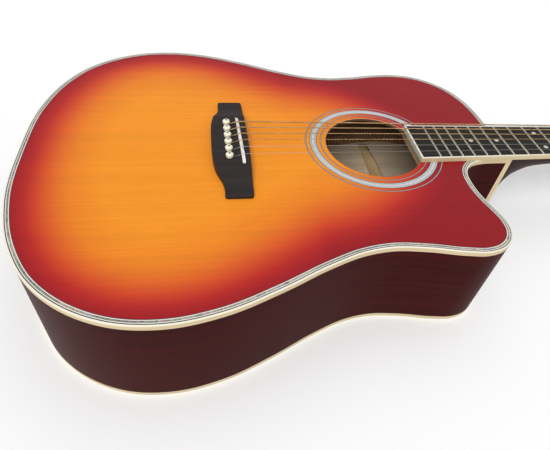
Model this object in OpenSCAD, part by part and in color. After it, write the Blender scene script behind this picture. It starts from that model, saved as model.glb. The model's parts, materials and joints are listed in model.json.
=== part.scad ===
// Steel-string acoustic guitar with a rounded cutaway.
//
// Everything is drawn in guitar coordinates: x = 0 at the nut and negative towards the tail,
// +y towards the bass strings, z = 0 on the soundboard. placed() then tips the whole guitar by the
// taper of its body, so that the flat back lies on z = 0, and centres it along x.

/* [Scale and strings] */
// Open string length, nut to saddle
scale_len = 650; // [645:1:655]
// Width over the outer strings at the nut
nut_spread = 36; // [34:0.5:38]
// Width over the outer strings at the saddle
saddle_spread = 54; // [52:0.5:56]
// Width over the outer bridge pins
pin_spread = 56; // [54:0.5:58]

/* [Body] */
// Body length, tail to neck joint
body_len = 503; // [495:1:515]
// Width of the lower bout
lower_bout = 410; // [402:1:416]
// Depth of the sides at the tail
depth_tail = 112; // [108:1:120]
// Depth of the sides at the neck joint
depth_neck = 102; // [98:1:106]
// Thickness of the soundboard
top_t = 3; // [2.6:0.1:3.4]
// Thickness of the back
back_t = 2.8; // [2.4:0.1:3.2]
// Thickness of the sides
side_t = 2.6; // [2.2:0.1:3]
// Width of the cream edge bindings
binding_w = 1.5; // [1.3:0.1:2.2]
// Height of the cream edge bindings
binding_h = 5; // [4:0.5:6.5]
// Radius of the sound hole
hole_r = 51.4; // [49:0.1:52]

/* [Bridge] */
// Length of the bridge across the top
bridge_len = 156; // [150:1:160]
// Height of the bridge at its middle
bridge_h = 9; // [8:0.5:10]
// Height of the saddle crest over the soundboard
saddle_h = 12.6; // [12:0.1:13.5]

/* [Neck] */
// Width of the fretboard at the nut
nut_w = 43; // [42:0.5:45]
// Width of the fretboard at the body end
fretboard_end_w = 59.6; // [58:0.2:62]
// Thickness of the fretboard
fretboard_t = 5.5; // [5:0.5:7]
// Number of frets
fret_count = 20; // [19:1:20]
// Angle of the head behind the neck
head_angle = 13; // [10:1:15]
// Length of the head
head_len = 172; // [165:1:180]
// Thickness of the head with its veneer
head_t = 16; // [15:0.5:17]

/* [Tuners] */
// Distance between tuners along the head
tuner_pitch = 40; // [38:1:42]
// Teeth on each tuner gear
gear_teeth = 15; // [15:1:15]
// Radius of a tuner gear at half tooth height
gear_r = 5; // [4.6:0.1:5.2]

/* [Hidden] */
SIX = [1 : 6];

$fn = 48;

// Frets and the places that follow from them
function fret_x(n) = scale_len / pow(2, n / 12) - scale_len;
joint_x = fret_x(14);
tail_x = joint_x - body_len;
saddle_x = -scale_len - 2.3;
fretboard_end_x = fret_x(20) - 21.3;
hole_x = fret_x(20) - 64.5;

// The back slopes along the body, because the sides are deeper at the tail
taper = atan((depth_tail - depth_neck) / body_len);

// Half widths along the fretboard, which widens evenly towards the body
function board_half(x) = (nut_w + (fretboard_end_w - nut_w) * x / fretboard_end_x) / 2;

// Head: its face starts behind the nut
nut_t = 5;
nut_h = 7;
veneer_t = 1.5;
head_face_z = 2;
volute_len = 8;

// Strings, numbered 1 for the high e to 6 for the low E
string_d = [0.3, 0.41, 0.61, 0.81, 1.07, 1.35];
function spread_y(spread, i) = spread * ((i - 1) / 5 - 0.5);
string_rest_z = nut_h - 0.2;

// Bridge pins
pin_x = -664.8;
pin_hole_r = 2.75;
pin_shank_r = 2.65;
pin_tip_r = 2.3;
pin_shank_len = 21;
pin_dome_h = 1.9;
pin_lift = 0.6;
pin_head_r = 3.8;
string_down_x = pin_x + pin_hole_r;

// Tuners
first_tuner = 48;
post_y = 25;
post_r = 3;
waist_r = 2.6;
wrap_h = 4.4;
tooth_depth = 0.4;
worm_r = 2.3;
worm_pitch = 2 * PI * gear_r / gear_teeth;
worm_turns = 3;
mesh_gap = 0.2;
worm_offset = gear_r + worm_r + mesh_gap;
worm_h = -head_t - 6.5;
gear_w = 3;
housing_depth = 12;
housing_wall = 1.6;
housing_half = 8.8;
shaft_r = 2;
running_gap = 0.05;
button_in = 41;
button_w = 12;

// Truss rod
rod_z = -4.6;
rod_nut_x = 6.5;
rod_nut_len = 10;

// Which tuner a string runs to: the outer strings take the tuners nearest the nut
function tuner_side(i) = i > 3 ? 1 : -1;
function tuner_row(i) = i > 3 ? 6 - i : i - 1;
function tuner_s(i) = first_tuner + tuner_pitch * tuner_row(i);

// The guitar's own middle along x once it lies on its back, from the end pin to the head's tip
end_pin_out = 12.5;
end_pin_z = -depth_tail / 2;
function level_x(x, z) = (x - tail_x) * cos(taper) + (z + depth_tail) * sin(taper);
head_tip_x = nut_t + head_len * cos(head_angle);
head_tip_z = head_face_z - head_len * sin(head_angle);
end_pin_head_r = 7;
middle_x = (level_x(tail_x - end_pin_out, end_pin_z - end_pin_head_r)
          + level_x(head_tip_x, head_tip_z)) / 2;

module placed()
    translate([-middle_x, 0, 0])
        rotate([0, taper, 0])
            translate([-tail_x, 0, depth_tail])
                children();

// Keeps what lies more than h above the flat back, in guitar coordinates
module above_back(h)
    intersection() {
        children();
        translate([tail_x, 0, -depth_tail]) rotate([0, -taper, 0])
            translate([-50, -300, h]) cube([700, 600, 300]);
    }

// The head's own coordinates: x along the head from the nut, z out of its face
module on_head()
    translate([nut_t, 0, head_face_z]) rotate([0, head_angle, 0]) children();

// ---- Body outline ----

// Half outline of the bouts: [distance from the tail, distance from the centre line]
// on a body 500 long and 408 wide
bout = [
    [0, 0], [4.3, 72], [19.6, 124.2], [41.5, 160.5], [70.7, 185.5], [104, 200], [140, 204], [184, 196.7],
    [230, 178.5], [272, 158.5], [303, 147], [330, 143], [360, 145.6], [395, 152]
];
// Bass shoulder, on to the neck joint
shoulder = [
    [421, 153.6], [446, 148.6], [466, 137], [482, 119.5], [493.5, 95], [499, 66], [500, 40]
];
// Treble horn and cutaway, from the bout round to the neck joint
horn = [
    [413, 153.3], [429, 149], [440, 140], [445.5, 129], [446.6, 116], [443.6, 102], [439.6, 88],
    [437.2, 75], [436.6, 62], [438.3, 49], [443.5, 39], [452.5, 31.6], [465, 28], [480, 27]
];
joint_corner = [500, 27];
function on_body(p, side) =
    [tail_x + p[0] * body_len / 500, side * p[1] * lower_bout / 408];
function reversed(v) = [for (i = [len(v) - 1 : -1 : 0]) v[i]];
stations = concat(
    [on_body([500, 15], 1)],
    [for (p = reversed(shoulder)) on_body(p, 1)],
    [for (p = reversed(bout)) on_body(p, 1)],
    [for (i = [1 : len(bout) - 1]) on_body(bout[i], -1)],
    [for (p = horn) on_body(p, -1)],
    [on_body(joint_corner, -1)]);

// A smooth curve through the stations, leaving out the first and the last,
// which only set the directions at its ends; the sharp corner at the joint closes it
steps = 5;
function slope(v, i) =
    let (a = norm(v[i] - v[i - 1]), b = norm(v[i + 1] - v[i]))
    ((v[i] - v[i - 1]) * b / a + (v[i + 1] - v[i]) * a / b) / (a + b);
function between(v, i, u) =
    let (d = norm(v[i + 1] - v[i]))
    v[i] * (2 * u * u * u - 3 * u * u + 1) + slope(v, i) * d * (u * u * u - 2 * u * u + u)
    + v[i + 1] * (3 * u * u - 2 * u * u * u) + slope(v, i + 1) * d * (u * u * u - u * u);
function smooth(v) = concat(
    [for (i = [1 : len(v) - 3]) for (k = [0 : steps - 1]) between(v, i, k / steps)],
    [v[len(v) - 2]]);
outline = concat(smooth(stations), [on_body(joint_corner, -1)]);

// The outline moved inwards by w, corner by corner
function left_of(a, b) = [a[1] - b[1], b[0] - a[0]] / norm(b - a);
function inset(w) = [
    for (i = [0 : len(outline) - 1])
        let (p = outline[i],
             n1 = left_of(outline[(i + len(outline) - 1) % len(outline)], p),
             n2 = left_of(p, outline[(i + 1) % len(outline)]))
        p + (n1 + n2) * w / (1 + n1 * n2)];
module plate2d(w) polygon(inset(w));
module ring2d(a, b) difference() { plate2d(a); plate2d(b); }

// Where purfling, side walls and linings lie, measured in from the outline
black_out = binding_w + 0.8;
white_out = black_out + 0.9;
abalone_in = white_out + 1.4;
white_in = abalone_in + 0.9;
black_in = white_in + 0.4;
lining_in = side_t + 6;
inlay_t = 1.2;

// ---- Sound box ----

module pin_holes()
    for (i = SIX) translate([pin_x, spread_y(pin_spread, i), -30]) cylinder(r = pin_hole_r, h = 60);

// A slot beside each pin hole, towards the saddle, in which the string runs down
module string_slots(reach, z)
    for (i = SIX)
        translate([pin_x, spread_y(pin_spread, i) - 0.85, z]) cube([reach, 1.7, 60]);

module annulus(r_in, r_out, z, h)
    translate([hole_x, 0, z]) difference() {
        cylinder(r = r_out, h = h, $fn = 96);
        translate([0, 0, -1]) cylinder(r = r_in, h = h + 2, $fn = 96);
    }
rosette_rings = [[61.2, 68.8], [56.3, 57.8], [72.2, 73.8]];

module soundboard() color([0.86, 0.36, 0.12]) placed()
    difference() {
        union() {
            translate([0, 0, -top_t]) linear_extrude(top_t - inlay_t) plate2d(binding_w);
            translate([0, 0, -inlay_t]) linear_extrude(inlay_t) plate2d(black_in);
        }
        translate([hole_x, 0, -10]) cylinder(r = hole_r, h = 20, $fn = 96);
        for (r = rosette_rings) annulus(r[0], r[1], -inlay_t, 5);
        pin_holes();
        string_slots(pin_hole_r + 0.85, -30);
    }

module inlay_ring(a, b)
    translate([0, 0, -inlay_t]) linear_extrude(inlay_t) ring2d(a, b);

module purfling_lines() color([0.12, 0.12, 0.13]) placed() {
    inlay_ring(binding_w, white_out);
    inlay_ring(abalone_in, black_in);
}
module purfling_abalone() color([0.55, 0.62, 0.6]) placed() inlay_ring(white_out, abalone_in);
module rosette_band() color([0.85, 0.88, 0.9]) placed()
    annulus(rosette_rings[0][0], rosette_rings[0][1], -inlay_t, inlay_t);
module rosette_lines() color([0.5, 0.52, 0.56]) placed()
    for (k = [1, 2]) annulus(rosette_rings[k][0], rosette_rings[k][1], -inlay_t, inlay_t);

module top_binding() color([0.93, 0.88, 0.72]) placed()
    translate([0, 0, -binding_h]) linear_extrude(binding_h) ring2d(0, binding_w);
module back_binding() color([0.93, 0.88, 0.72])
    intersection() {
        placed() translate([0, 0, -depth_tail - 30]) linear_extrude(60) ring2d(0, binding_w);
        translate([-700, -300, 0]) cube([1400, 600, binding_h]);
    }
module back() color([0.42, 0.2, 0.14])
    intersection() {
        placed() translate([0, 0, -depth_tail - 30]) linear_extrude(60) plate2d(binding_w);
        translate([-700, -300, 0]) cube([1400, 600, back_t]);
    }

// The bent walls, with a step top and bottom where the bindings sit;
// the children are the stretch of the outline that a wall covers
module wall() {
    above_back(binding_h) translate([0, 0, -depth_tail - 10])
        linear_extrude(depth_tail + 10 - binding_h)
            intersection() { ring2d(0, side_t); children(); }
    above_back(back_t) translate([0, 0, -depth_tail - 10])
        linear_extrude(depth_tail + 10 - top_t)
            intersection() { ring2d(binding_w, side_t); children(); }
}
tail_strip_half = 7;
heel_strip_w = 5.5;
corner_y = 27 * lower_bout / 408 - side_t;

module side_bass() color([0.3, 0.13, 0.12]) placed()
    wall() polygon([
        [tail_x - 50, tail_strip_half], [joint_x - 20, tail_strip_half], [joint_x - 20, -corner_y],
        [joint_x + 50, -corner_y], [joint_x + 50, 300], [tail_x - 50, 300]]);
module side_treble() color([0.3, 0.13, 0.12]) placed()
    wall() polygon([
        [tail_x - 50, -tail_strip_half], [tail_x - 50, -300],
        [joint_x - heel_strip_w, -300], [joint_x - heel_strip_w, -tail_strip_half]]);
module end_pin_hole()
    translate([tail_x + 60, 0, end_pin_z]) rotate([0, -90, 0]) cylinder(r = 5, h = 80);
module end_strips() color([0.9, 0.85, 0.68]) placed() {
    difference() {
        wall() translate([tail_x - 50, -tail_strip_half]) square([80, 2 * tail_strip_half]);
        end_pin_hole();
    }
    wall() translate([joint_x - heel_strip_w, -corner_y - 20]) square([heel_strip_w + 20, 20]);
}

neck_block_len = 62;
tail_block_len = 20;
module neck_block2d() intersection() {
    plate2d(side_t);
    translate([joint_x - neck_block_len, -60]) square([neck_block_len + 10, 102]);
}
module tail_block2d() intersection() {
    plate2d(side_t);
    translate([tail_x - 10, -40]) square([tail_block_len + 10, 80]);
}
module lining2d() difference() {
    ring2d(side_t, lining_in);
    neck_block2d();
    tail_block2d();
}
lining_h = 14;
module lining_top() color([0.55, 0.4, 0.26]) placed()
    translate([0, 0, -top_t - lining_h]) linear_extrude(lining_h) lining2d();
module lining_back() color([0.55, 0.4, 0.26])
    intersection() {
        placed() translate([0, 0, -depth_tail - 30]) linear_extrude(80) lining2d();
        translate([-700, -300, back_t]) cube([1400, 600, lining_h]);
    }
module block_under_top()
    above_back(back_t) translate([0, 0, -depth_tail - 10])
        linear_extrude(depth_tail + 10 - top_t) children();
module neck_block() color([0.72, 0.56, 0.38]) placed() block_under_top() neck_block2d();
module tail_block() color([0.72, 0.56, 0.38]) placed()
    difference() {
        block_under_top() tail_block2d();
        end_pin_hole();
    }

// ---- Braces ----

// A bar from p to q that hangs h below the top, its ends cut down over a length of run
module bar(p, q, w, h, tip_h, run) {
    len = norm(q - p);
    translate([p[0], p[1], -top_t]) rotate([0, 0, atan2(q[1] - p[1], q[0] - p[0])])
        rotate([90, 0, 0]) translate([0, 0, -w / 2]) linear_extrude(w)
            polygon([[0, 0], [len, 0], [len, -tip_h], [len - run, -h], [run, -h], [0, -tip_h]]);
}
x_cross = hole_x - 80;
x_angle = 51;
function x_leg(y) = x_cross + y / tan(x_angle);

module x_brace() color([0.85, 0.72, 0.5]) placed()
    for (s = [1, -1]) bar([x_leg(-178), -s * 178], [x_leg(128), s * 128], 8, 14, 4, 55);
module transverse_brace() color([0.85, 0.72, 0.5]) placed()
    bar([hole_x + 58.5, -136], [hole_x + 58.5, 138], 12, 17, 6, 45);
module tone_bars() color([0.85, 0.72, 0.5]) placed() {
    bar([-703, 112], [-752, -160], 7, 11, 3, 40);
    bar([-752, 102], [-795, -118], 7, 10, 3, 40);
}
module finger_braces() color([0.85, 0.72, 0.5]) placed()
    for (s = [1, -1]) {
        bar([-628, s * 66], [-618, s * 146], 7, 8, 2, 20);
        bar([-674, s * 124], [-652, s * 162], 7, 8, 2, 12);
    }
module bridge_plate() color([0.5, 0.3, 0.2]) placed()
    difference() {
        translate([0, 0, -top_t - 2.5]) linear_extrude(2.5)
            polygon([[-641, 50], [-641, -50], [-687, -92], [-687, 92]]);
        pin_holes();
        string_slots(pin_hole_r + 0.85, -30);
    }

// Ladder braces on the back: [x, half length]
back_ladder = [[-462, 138], [-550, 124], [-650, 160], [-760, 178]];
back_brace_w = 14;
back_brace_h = 13;
module back_slab(z, h)
    intersection() {
        placed() translate([0, 0, -depth_tail - 30]) linear_extrude(80) children();
        translate([-700, -300, z]) cube([1400, 600, h]);
    }
module back_braces() color([0.78, 0.66, 0.45])
    for (b = back_ladder)
        placed() translate([b[0], 0, -depth_tail + tan(taper) * (b[0] - tail_x) + back_t / cos(taper)])
            rotate([90, 0, 0]) rotate([0, 0, taper])
                translate([0, 0, -b[1]]) linear_extrude(2 * b[1]) brace_section();
// A rounded-over bar section standing on y = 0
module brace_section()
    polygon([
        [-back_brace_w / 2, 0], [back_brace_w / 2, 0], [back_brace_w / 2, 5],
        [2.5, back_brace_h], [-2.5, back_brace_h], [-back_brace_w / 2, 5]]);
module back_center_strip() color([0.8, 0.68, 0.48])
    back_slab(back_t, 2.2) difference() {
        translate([tail_x + tail_block_len + 1, -9])
            square([body_len - neck_block_len - tail_block_len - 2, 18]);
        for (b = back_ladder)
            translate([b[0] - back_brace_w / 2 - 1, -20]) square([back_brace_w + 2, 40]);
    }

// ---- Bridge ----

// Half outline of the bridge, mirrored across the centre line: [x from the pins, y]
bridge_half = [
    [20.8, 0], [20.6, 22], [20, 44], [19.6, 64], [19.5, 76.5], [18.2, bridge_len / 2],
    [-5.4, bridge_len / 2], [-6.8, 76.5], [-6.8, 66], [-8.2, 57], [-10.8, 49.5], [-13.2, 42.5],
    [-15, 34], [-16.2, 22], [-16.6, 0]
];
bridge_points = concat(
    bridge_half, [for (i = [len(bridge_half) - 2 : -1 : 1]) [bridge_half[i][0], -bridge_half[i][1]]]);
wing_h = 4.2;
wing_y = 66;
wing_from = 44;
scoop_r = (pow(wing_y - wing_from, 2) + pow(bridge_h - wing_h, 2)) / (2 * (bridge_h - wing_h));
saddle_w = 3;
saddle_len = 76;
saddle_lean = 1.6;
saddle_seat = 4;

module at_saddle()
    translate([saddle_x, 0, 0]) rotate([0, 0, saddle_lean]) children();
module bridge() color([0.13, 0.1, 0.09]) placed()
    difference() {
        translate([pin_x, 0, 0]) linear_extrude(bridge_h) polygon(bridge_points);
        for (s = [1, -1]) {
            translate([pin_x - 50, s * wing_y, wing_h + scoop_r]) rotate([0, 90, 0])
                cylinder(r = scoop_r, h = 100, $fn = 96);
            translate([pin_x - 50, s > 0 ? wing_y : -wing_y - 50, wing_h]) cube([100, 50, 20]);
        }
        pin_holes();
        string_slots(pin_hole_r + 0.85, -30);
        string_slots(7, bridge_h - 1.3);
        at_saddle() translate([-saddle_w / 2, -saddle_len / 2, saddle_seat])
            cube([saddle_w, saddle_len, 20]);
    }
// The saddle's crest is an arc across the strings
saddle_camber_r = 500;
module saddle() color([0.95, 0.94, 0.9]) placed()
    at_saddle() intersection() {
        translate([-saddle_w / 2, -saddle_len / 2, saddle_seat]) cube([saddle_w, saddle_len, 20]);
        translate([-10, 0, saddle_h - saddle_camber_r]) rotate([0, 90, 0])
            cylinder(r = saddle_camber_r, h = 20, $fn = 200);
    }

// A pin: tapered shank with a groove for its string, a collar and a domed head
module bridge_pin(i) color([0.93, 0.89, 0.78]) placed()
    translate([pin_x, spread_y(pin_spread, i), bridge_h + pin_lift])
        difference() {
            rotate_extrude() polygon(concat(
                [[0, -pin_shank_len - 1], [pin_tip_r, -pin_shank_len],
                 [pin_shank_r, -pin_lift - bridge_h], [pin_shank_r, 0], [3.3, 0], [3.3, 1.2]],
                [for (a = [-40 : 13 : 90]) [pin_head_r * cos(a), 2.6 + pin_dome_h * sin(a)]]));
            translate([1.1, -0.95, -pin_shank_len - 5]) cube([5, 1.9, pin_shank_len + 4.9]);
        }

module end_pin() color([0.1, 0.1, 0.1]) placed()
    translate([tail_x, 0, end_pin_z]) rotate([0, -90, 0])
        rotate_extrude() polygon([
            [0, -22], [5, -22], [5, 0], [7, 0], [7, 1.5], [4, 4.5], [4, 8],
            [end_pin_head_r, 9.5], [end_pin_head_r, end_pin_out], [0, end_pin_out]]);

// ---- Neck ----

// The neck's back is a row of half-round ribs. Each rib stands on a base line that runs along
// z = 0 from the nut to the joint and then down the end of the body:
// [base x, base z, tip x, tip z, half width]; a half width of 0 follows the fretboard.
neck_depth = 15;
heel_z = -depth_neck + 2.6;
ribs = [
    [nut_t, 0, nut_t, -13.4, 0], [-20, 0, -20, -14, 0], [-80, 0, -80, -neck_depth, 0],
    [-180, 0, -180, -neck_depth - 0.5, 0], [-255, 0, -255, -neck_depth - 1, 0],
    [-296, 0, -291, -16.4, 0], [-322, 0, -309.5, -17.6, 0], [-343, 0, -323.5, -21, 0],
    [-355, 0, -332.5, -27, 0], [joint_x, 0, -341.5, -36, 27.5], [joint_x, -16, -348.5, -47, 26],
    [joint_x, -34, -351, -60.5, 23.5], [joint_x, -56, -350.5, -75.5, 21],
    [joint_x, -80, -349, -89.5, 18.5], [joint_x, heel_z, -348.5, heel_z, 16]
];
rib_points = 20;
rib_fullness = 0.88;
function rib_half(r) = r[4] == 0 ? board_half(r[0]) : r[4];
function rib(r) = [
    for (k = [0 : rib_points])
        let (a = 180 * k / rib_points, s = pow(sin(a), rib_fullness),
             c = sign(cos(a)) * pow(abs(cos(a)), rib_fullness))
        [r[0] + (r[2] - r[0]) * s, rib_half(r) * c, r[1] + (r[3] - r[1]) * s]];
// Halfway ribs between the listed ones keep the heel round
function mid_rib(i) = let (a = ribs[i], b = ribs[i + 1])
    [(a[0] + b[0]) / 2, (a[1] + b[1]) / 2, (a[2] + b[2]) / 2, (a[3] + b[3]) / 2,
     (rib_half(a) + rib_half(b)) / 2];
all_ribs = concat(
    [for (i = [0 : len(ribs) - 2]) each [ribs[i], mid_rib(i)]], [ribs[len(ribs) - 1]]);
module neck_shape() {
    n = rib_points + 1;
    points = [for (r = all_ribs) each rib(r)];
    skin = [for (j = [0 : len(all_ribs) - 2]) for (k = [0 : n - 1])
        let (a = j * n + k, b = j * n + (k + 1) % n, c = a + n, d = b + n)
        each [[a, c, b], [b, c, d]]];
    first = [for (k = [0 : n - 1]) k];
    last = [for (k = [n - 1 : -1 : 0]) (len(all_ribs) - 1) * n + k];
    polyhedron(points, concat(skin, [first, last]), convexity = 6);
}
rod_channel_w = 6.4;
rod_channel_end = -344;
module neck() color([0.22, 0.1, 0.09]) placed()
    difference() {
        neck_shape();
        translate([rod_channel_end, -rod_channel_w / 2, -8.6])
            cube([nut_t - rod_channel_end + 5, rod_channel_w, 20]);
    }
module heel_cap() color([0.93, 0.88, 0.72]) placed()
    above_back(0) translate([joint_x, 0, -depth_neck - 3]) linear_extrude(heel_z + depth_neck + 3)
        polygon([for (k = [0 : rib_points])
            let (p = rib(ribs[len(ribs) - 1])[k])
            [p[0] - joint_x, p[1]]]);

// Head outline: [distance from the nut, half width]
head_side = [
    [-volute_len, nut_w / 2], [6, nut_w / 2], [14, nut_w / 2 + 1], [24, 27], [34, 32], [44, 34.4],
    [60, 35], [100, 36.4], [150, 38.2], [160, 38.2], [165, 35.5], [169, 24], [head_len, 0]
];
module head2d() polygon(concat(
    [for (p = head_side) [p[0], -p[1]]],
    [for (i = [len(head_side) - 2 : -1 : 0]) head_side[i]]));
// Keeps the part of the head in front of the nut
module past_nut()
    intersection() {
        children();
        translate([nut_t, -60, -100]) cube([250, 120, 130]);
    }
module nut_pocket()
    translate([nut_t - 1, -5.5, -9.6]) cube([29, 11, 20]);
ear_screw = 13;
ear_t = 2;
screw_r = 1;
cover_screw = 36;
cover_t = 1.8;
module ear_places()
    for (i = SIX) translate([tuner_s(i) - ear_screw, tuner_side(i) * post_y, 0]) children();
// Holes for the bushings, the truss rod cover's screw and the truss rod's nut
module head_holes() {
    on_head() {
        for (i = SIX)
            translate([tuner_s(i), tuner_side(i) * post_y, -30]) cylinder(r = bushing_r, h = 40);
        translate([cover_screw, 0, -8]) cylinder(r = screw_r, h = 20);
    }
    nut_pocket();
}
bushing_r = 4;
module headstock() color([0.22, 0.1, 0.09]) placed()
    difference() {
        past_nut() on_head() translate([0, 0, -head_t]) linear_extrude(head_t - veneer_t) head2d();
        on_head() ear_places() translate([0, 0, -30]) cylinder(r = screw_r, h = 23);
        head_holes();
    }
module headplate() color([0.1, 0.08, 0.08]) placed()
    difference() {
        past_nut() on_head() translate([0, 0, -veneer_t]) linear_extrude(veneer_t) head2d();
        head_holes();
    }
module truss_rod() color([0.6, 0.6, 0.62]) placed() {
    translate([rod_channel_end + 1, 0, rod_z]) rotate([0, 90, 0])
        cylinder(r = 2.5, h = rod_nut_x + 3 - rod_channel_end);
    translate([rod_channel_end + 1, -3, -2.6]) cube([-rod_channel_end - 4, 6, 2.6]);
}
module truss_rod_nut() color([0.8, 0.65, 0.3]) placed()
    translate([rod_nut_x, 0, rod_z]) rotate([0, 90, 0]) difference() {
        cylinder(r = 3.6, h = rod_nut_len);
        translate([0, 0, -1]) cylinder(r = 2.5 + running_gap, h = 5);
        translate([0, 0, 5]) cylinder(r = 2.3, h = 10, $fn = 6);
    }
module truss_rod_cover() color([0.08, 0.08, 0.08]) placed()
    on_head() difference() {
        linear_extrude(cover_t) polygon([
            [1, -10], [10, -9.6], [22, -7.6], [34, -5.2], [40, -3], [41.5, 0],
            [40, 3], [34, 5.2], [22, 7.6], [10, 9.6], [1, 10]]);
        translate([cover_screw, 0, -1]) cylinder(r = screw_r, h = 5);
    }

// Fretboard with its binding, fret slots and the pockets of its dots
board_binding = 2;
function board2d(w) = [
    [0, -board_half(0) + w], [0, board_half(0) - w],
    [fretboard_end_x + w, board_half(fretboard_end_x) - w],
    [fretboard_end_x + w, -board_half(fretboard_end_x) + w]];
// Midway between two frets
function fret_mid(n) = (fret_x(n) + fret_x(n - 1)) / 2;
dots = concat([for (n = [3, 5, 7, 9, 15, 17]) [fret_mid(n), 0]],
              [for (s = [1, -1]) [fret_mid(12), s * 13]]);
dot_r = 2.5;
fret_tang = 0.6;
module dot_cylinders(h)
    for (p = dots) translate([p[0], p[1], fretboard_t - 1.2]) cylinder(r = dot_r, h = h);
module fretboard() color([0.1, 0.09, 0.09]) placed()
    difference() {
        linear_extrude(fretboard_t) polygon(board2d(board_binding));
        for (n = [1 : fret_count])
            translate([fret_x(n) - fret_tang / 2, -50, fretboard_t - 2]) cube([fret_tang, 100, 10]);
        dot_cylinders(5);
    }
module fretboard_binding() color([0.93, 0.88, 0.72]) placed()
    linear_extrude(fretboard_t) difference() {
        polygon(board2d(0));
        polygon([for (p = board2d(board_binding)) [p[0] == 0 ? 10 : p[0], p[1]]]);
    }
module fret_markers() color([0.93, 0.93, 0.93]) placed() dot_cylinders(1.2);

// A fret: a domed bead over a tang in its slot
bead_r = 1.12;
bead_h = 0.9;
module fret(n) {
    half = board_half(fret_x(n)) - board_binding;
    translate([fret_x(n), -half, fretboard_t]) {
        intersection() {
            translate([0, 0, bead_h - bead_r]) rotate([-90, 0, 0]) cylinder(r = bead_r, h = 2 * half);
            translate([-2, -1, 0]) cube([4, 2 * half + 2, 3]);
        }
        translate([-fret_tang / 2, 0, -2]) cube([fret_tang, 2 * half, 2]);
    }
}
module frets() color([0.82, 0.74, 0.52]) placed() for (n = [1 : fret_count]) fret(n);

module nut() color([0.95, 0.93, 0.86]) placed()
    translate([0, -nut_w / 2, 0]) cube([nut_t, nut_w, nut_h]);

// ---- Strings ----

// A tube of radius r that follows the points, with a ring of sides at each
tube_sides = 10;
function unit(v) = v / norm(v);
function direction(path, k) =
    k == 0 ? unit(path[1] - path[0])
    : k == len(path) - 1 ? unit(path[k] - path[k - 1])
    : unit(unit(path[k] - path[k - 1]) + unit(path[k + 1] - path[k]));
// A direction across each point of the path, carried along it so that the tube doesn't twist
function across(u, t) = unit(u - (u * t) * t);
function carried(path) = [
    for (k = 0, u = [0, 1, 0]; k < len(path);
         k = k + 1, u = k < len(path) ? across(u, direction(path, k)) : u) u];
function ring_at(p, t, u, r) =
    let (v = cross(t, u))
    [for (j = [0 : tube_sides - 1])
        let (a = 360 * j / tube_sides) p + r * (cos(a) * u + sin(a) * v)];
module tube(path, r) {
    n = tube_sides;
    last = len(path) - 1;
    sides_from = carried(path);
    skin = [for (k = [0 : last - 1]) for (j = [0 : n - 1])
        let (a = k * n + j, b = k * n + (j + 1) % n) each [[a, a + n, b], [b, a + n, b + n]]];
    polyhedron(
        [for (k = [0 : last]) each ring_at(path[k], direction(path, k), sides_from[k], r)],
        concat(skin, [[for (j = [0 : n - 1]) j], [for (j = [n - 1 : -1 : 0]) last * n + j]]));
}
// A point given on the head, in guitar coordinates
function from_head(s, y, h) = [
    nut_t + s * cos(head_angle) + h * sin(head_angle), y,
    head_face_z - s * sin(head_angle) + h * cos(head_angle)];
function to_head(p) = [
    (p[0] - nut_t) * cos(head_angle) - (p[2] - head_face_z) * sin(head_angle), p[1],
    (p[0] - nut_t) * sin(head_angle) + (p[2] - head_face_z) * cos(head_angle)];
function string_r(i) = string_d[i - 1] / 2;
// Radius on which a string lies round its post, clear of the turning waist
function wrap_r(i) = waist_r + 0.2 + string_r(i);
function nut_point(i) = [nut_t, spread_y(nut_spread, i), string_rest_z + string_r(i)];
// Where the string, seen from above the head, first touches that circle
function touch_angle(i) =
    let (n = to_head(nut_point(i)), side = tuner_side(i),
         dx = tuner_s(i) - n[0], dy = side * post_y - n[1],
         d = norm([dx, dy]))
    atan2(dy, dx) - side * 90 - side * asin(wrap_r(i) / d);
function on_wrap(i, a) = from_head(
    tuner_s(i) + wrap_r(i) * cos(a), tuner_side(i) * post_y + wrap_r(i) * sin(a), wrap_h);
wrap_turn = 260;
wrap_steps = 13;
function saddle_top(y) =
    saddle_h - saddle_camber_r + sqrt(saddle_camber_r * saddle_camber_r - y * y);
function string_path(i) =
    let (yp = spread_y(pin_spread, i), ys = spread_y(saddle_spread, i), r = string_r(i),
         n = nut_point(i))
    concat(
        [[string_down_x, yp, ball_z], [string_down_x, yp, bridge_h - 0.3],
         [saddle_x - ys * sin(saddle_lean), ys, saddle_top(ys) + r], [0, n[1], n[2] + 0.05], n],
        [for (k = [0 : wrap_steps])
            on_wrap(i, touch_angle(i) + tuner_side(i) * wrap_turn * k / wrap_steps)]);
ball_z = -top_t - 2.5 - 2.2;
ball_r = 2.1;
// A string with its ball end under the bridge plate and its last turn round the post
module string(i) {
    tube(string_path(i), string_r(i));
    translate([string_down_x + 1.9, spread_y(pin_spread, i) + 2, ball_z]) rotate([90, 0, 0])
        cylinder(r = ball_r, h = 4);
}
module wound_strings() color([0.75, 0.55, 0.3]) placed() for (i = [3 : 6]) string(i);
module plain_strings() color([0.8, 0.8, 0.82]) placed() for (i = [1, 2]) string(i);

// ---- Tuners ----

module at_tuner(i)
    on_head() translate([tuner_s(i), tuner_side(i) * post_y, 0]) children();
// Turns so that +y points outwards, away from the head's middle
module outwards(i) mirror([0, tuner_side(i) > 0 ? 0 : 1, 0]) children();

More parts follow.
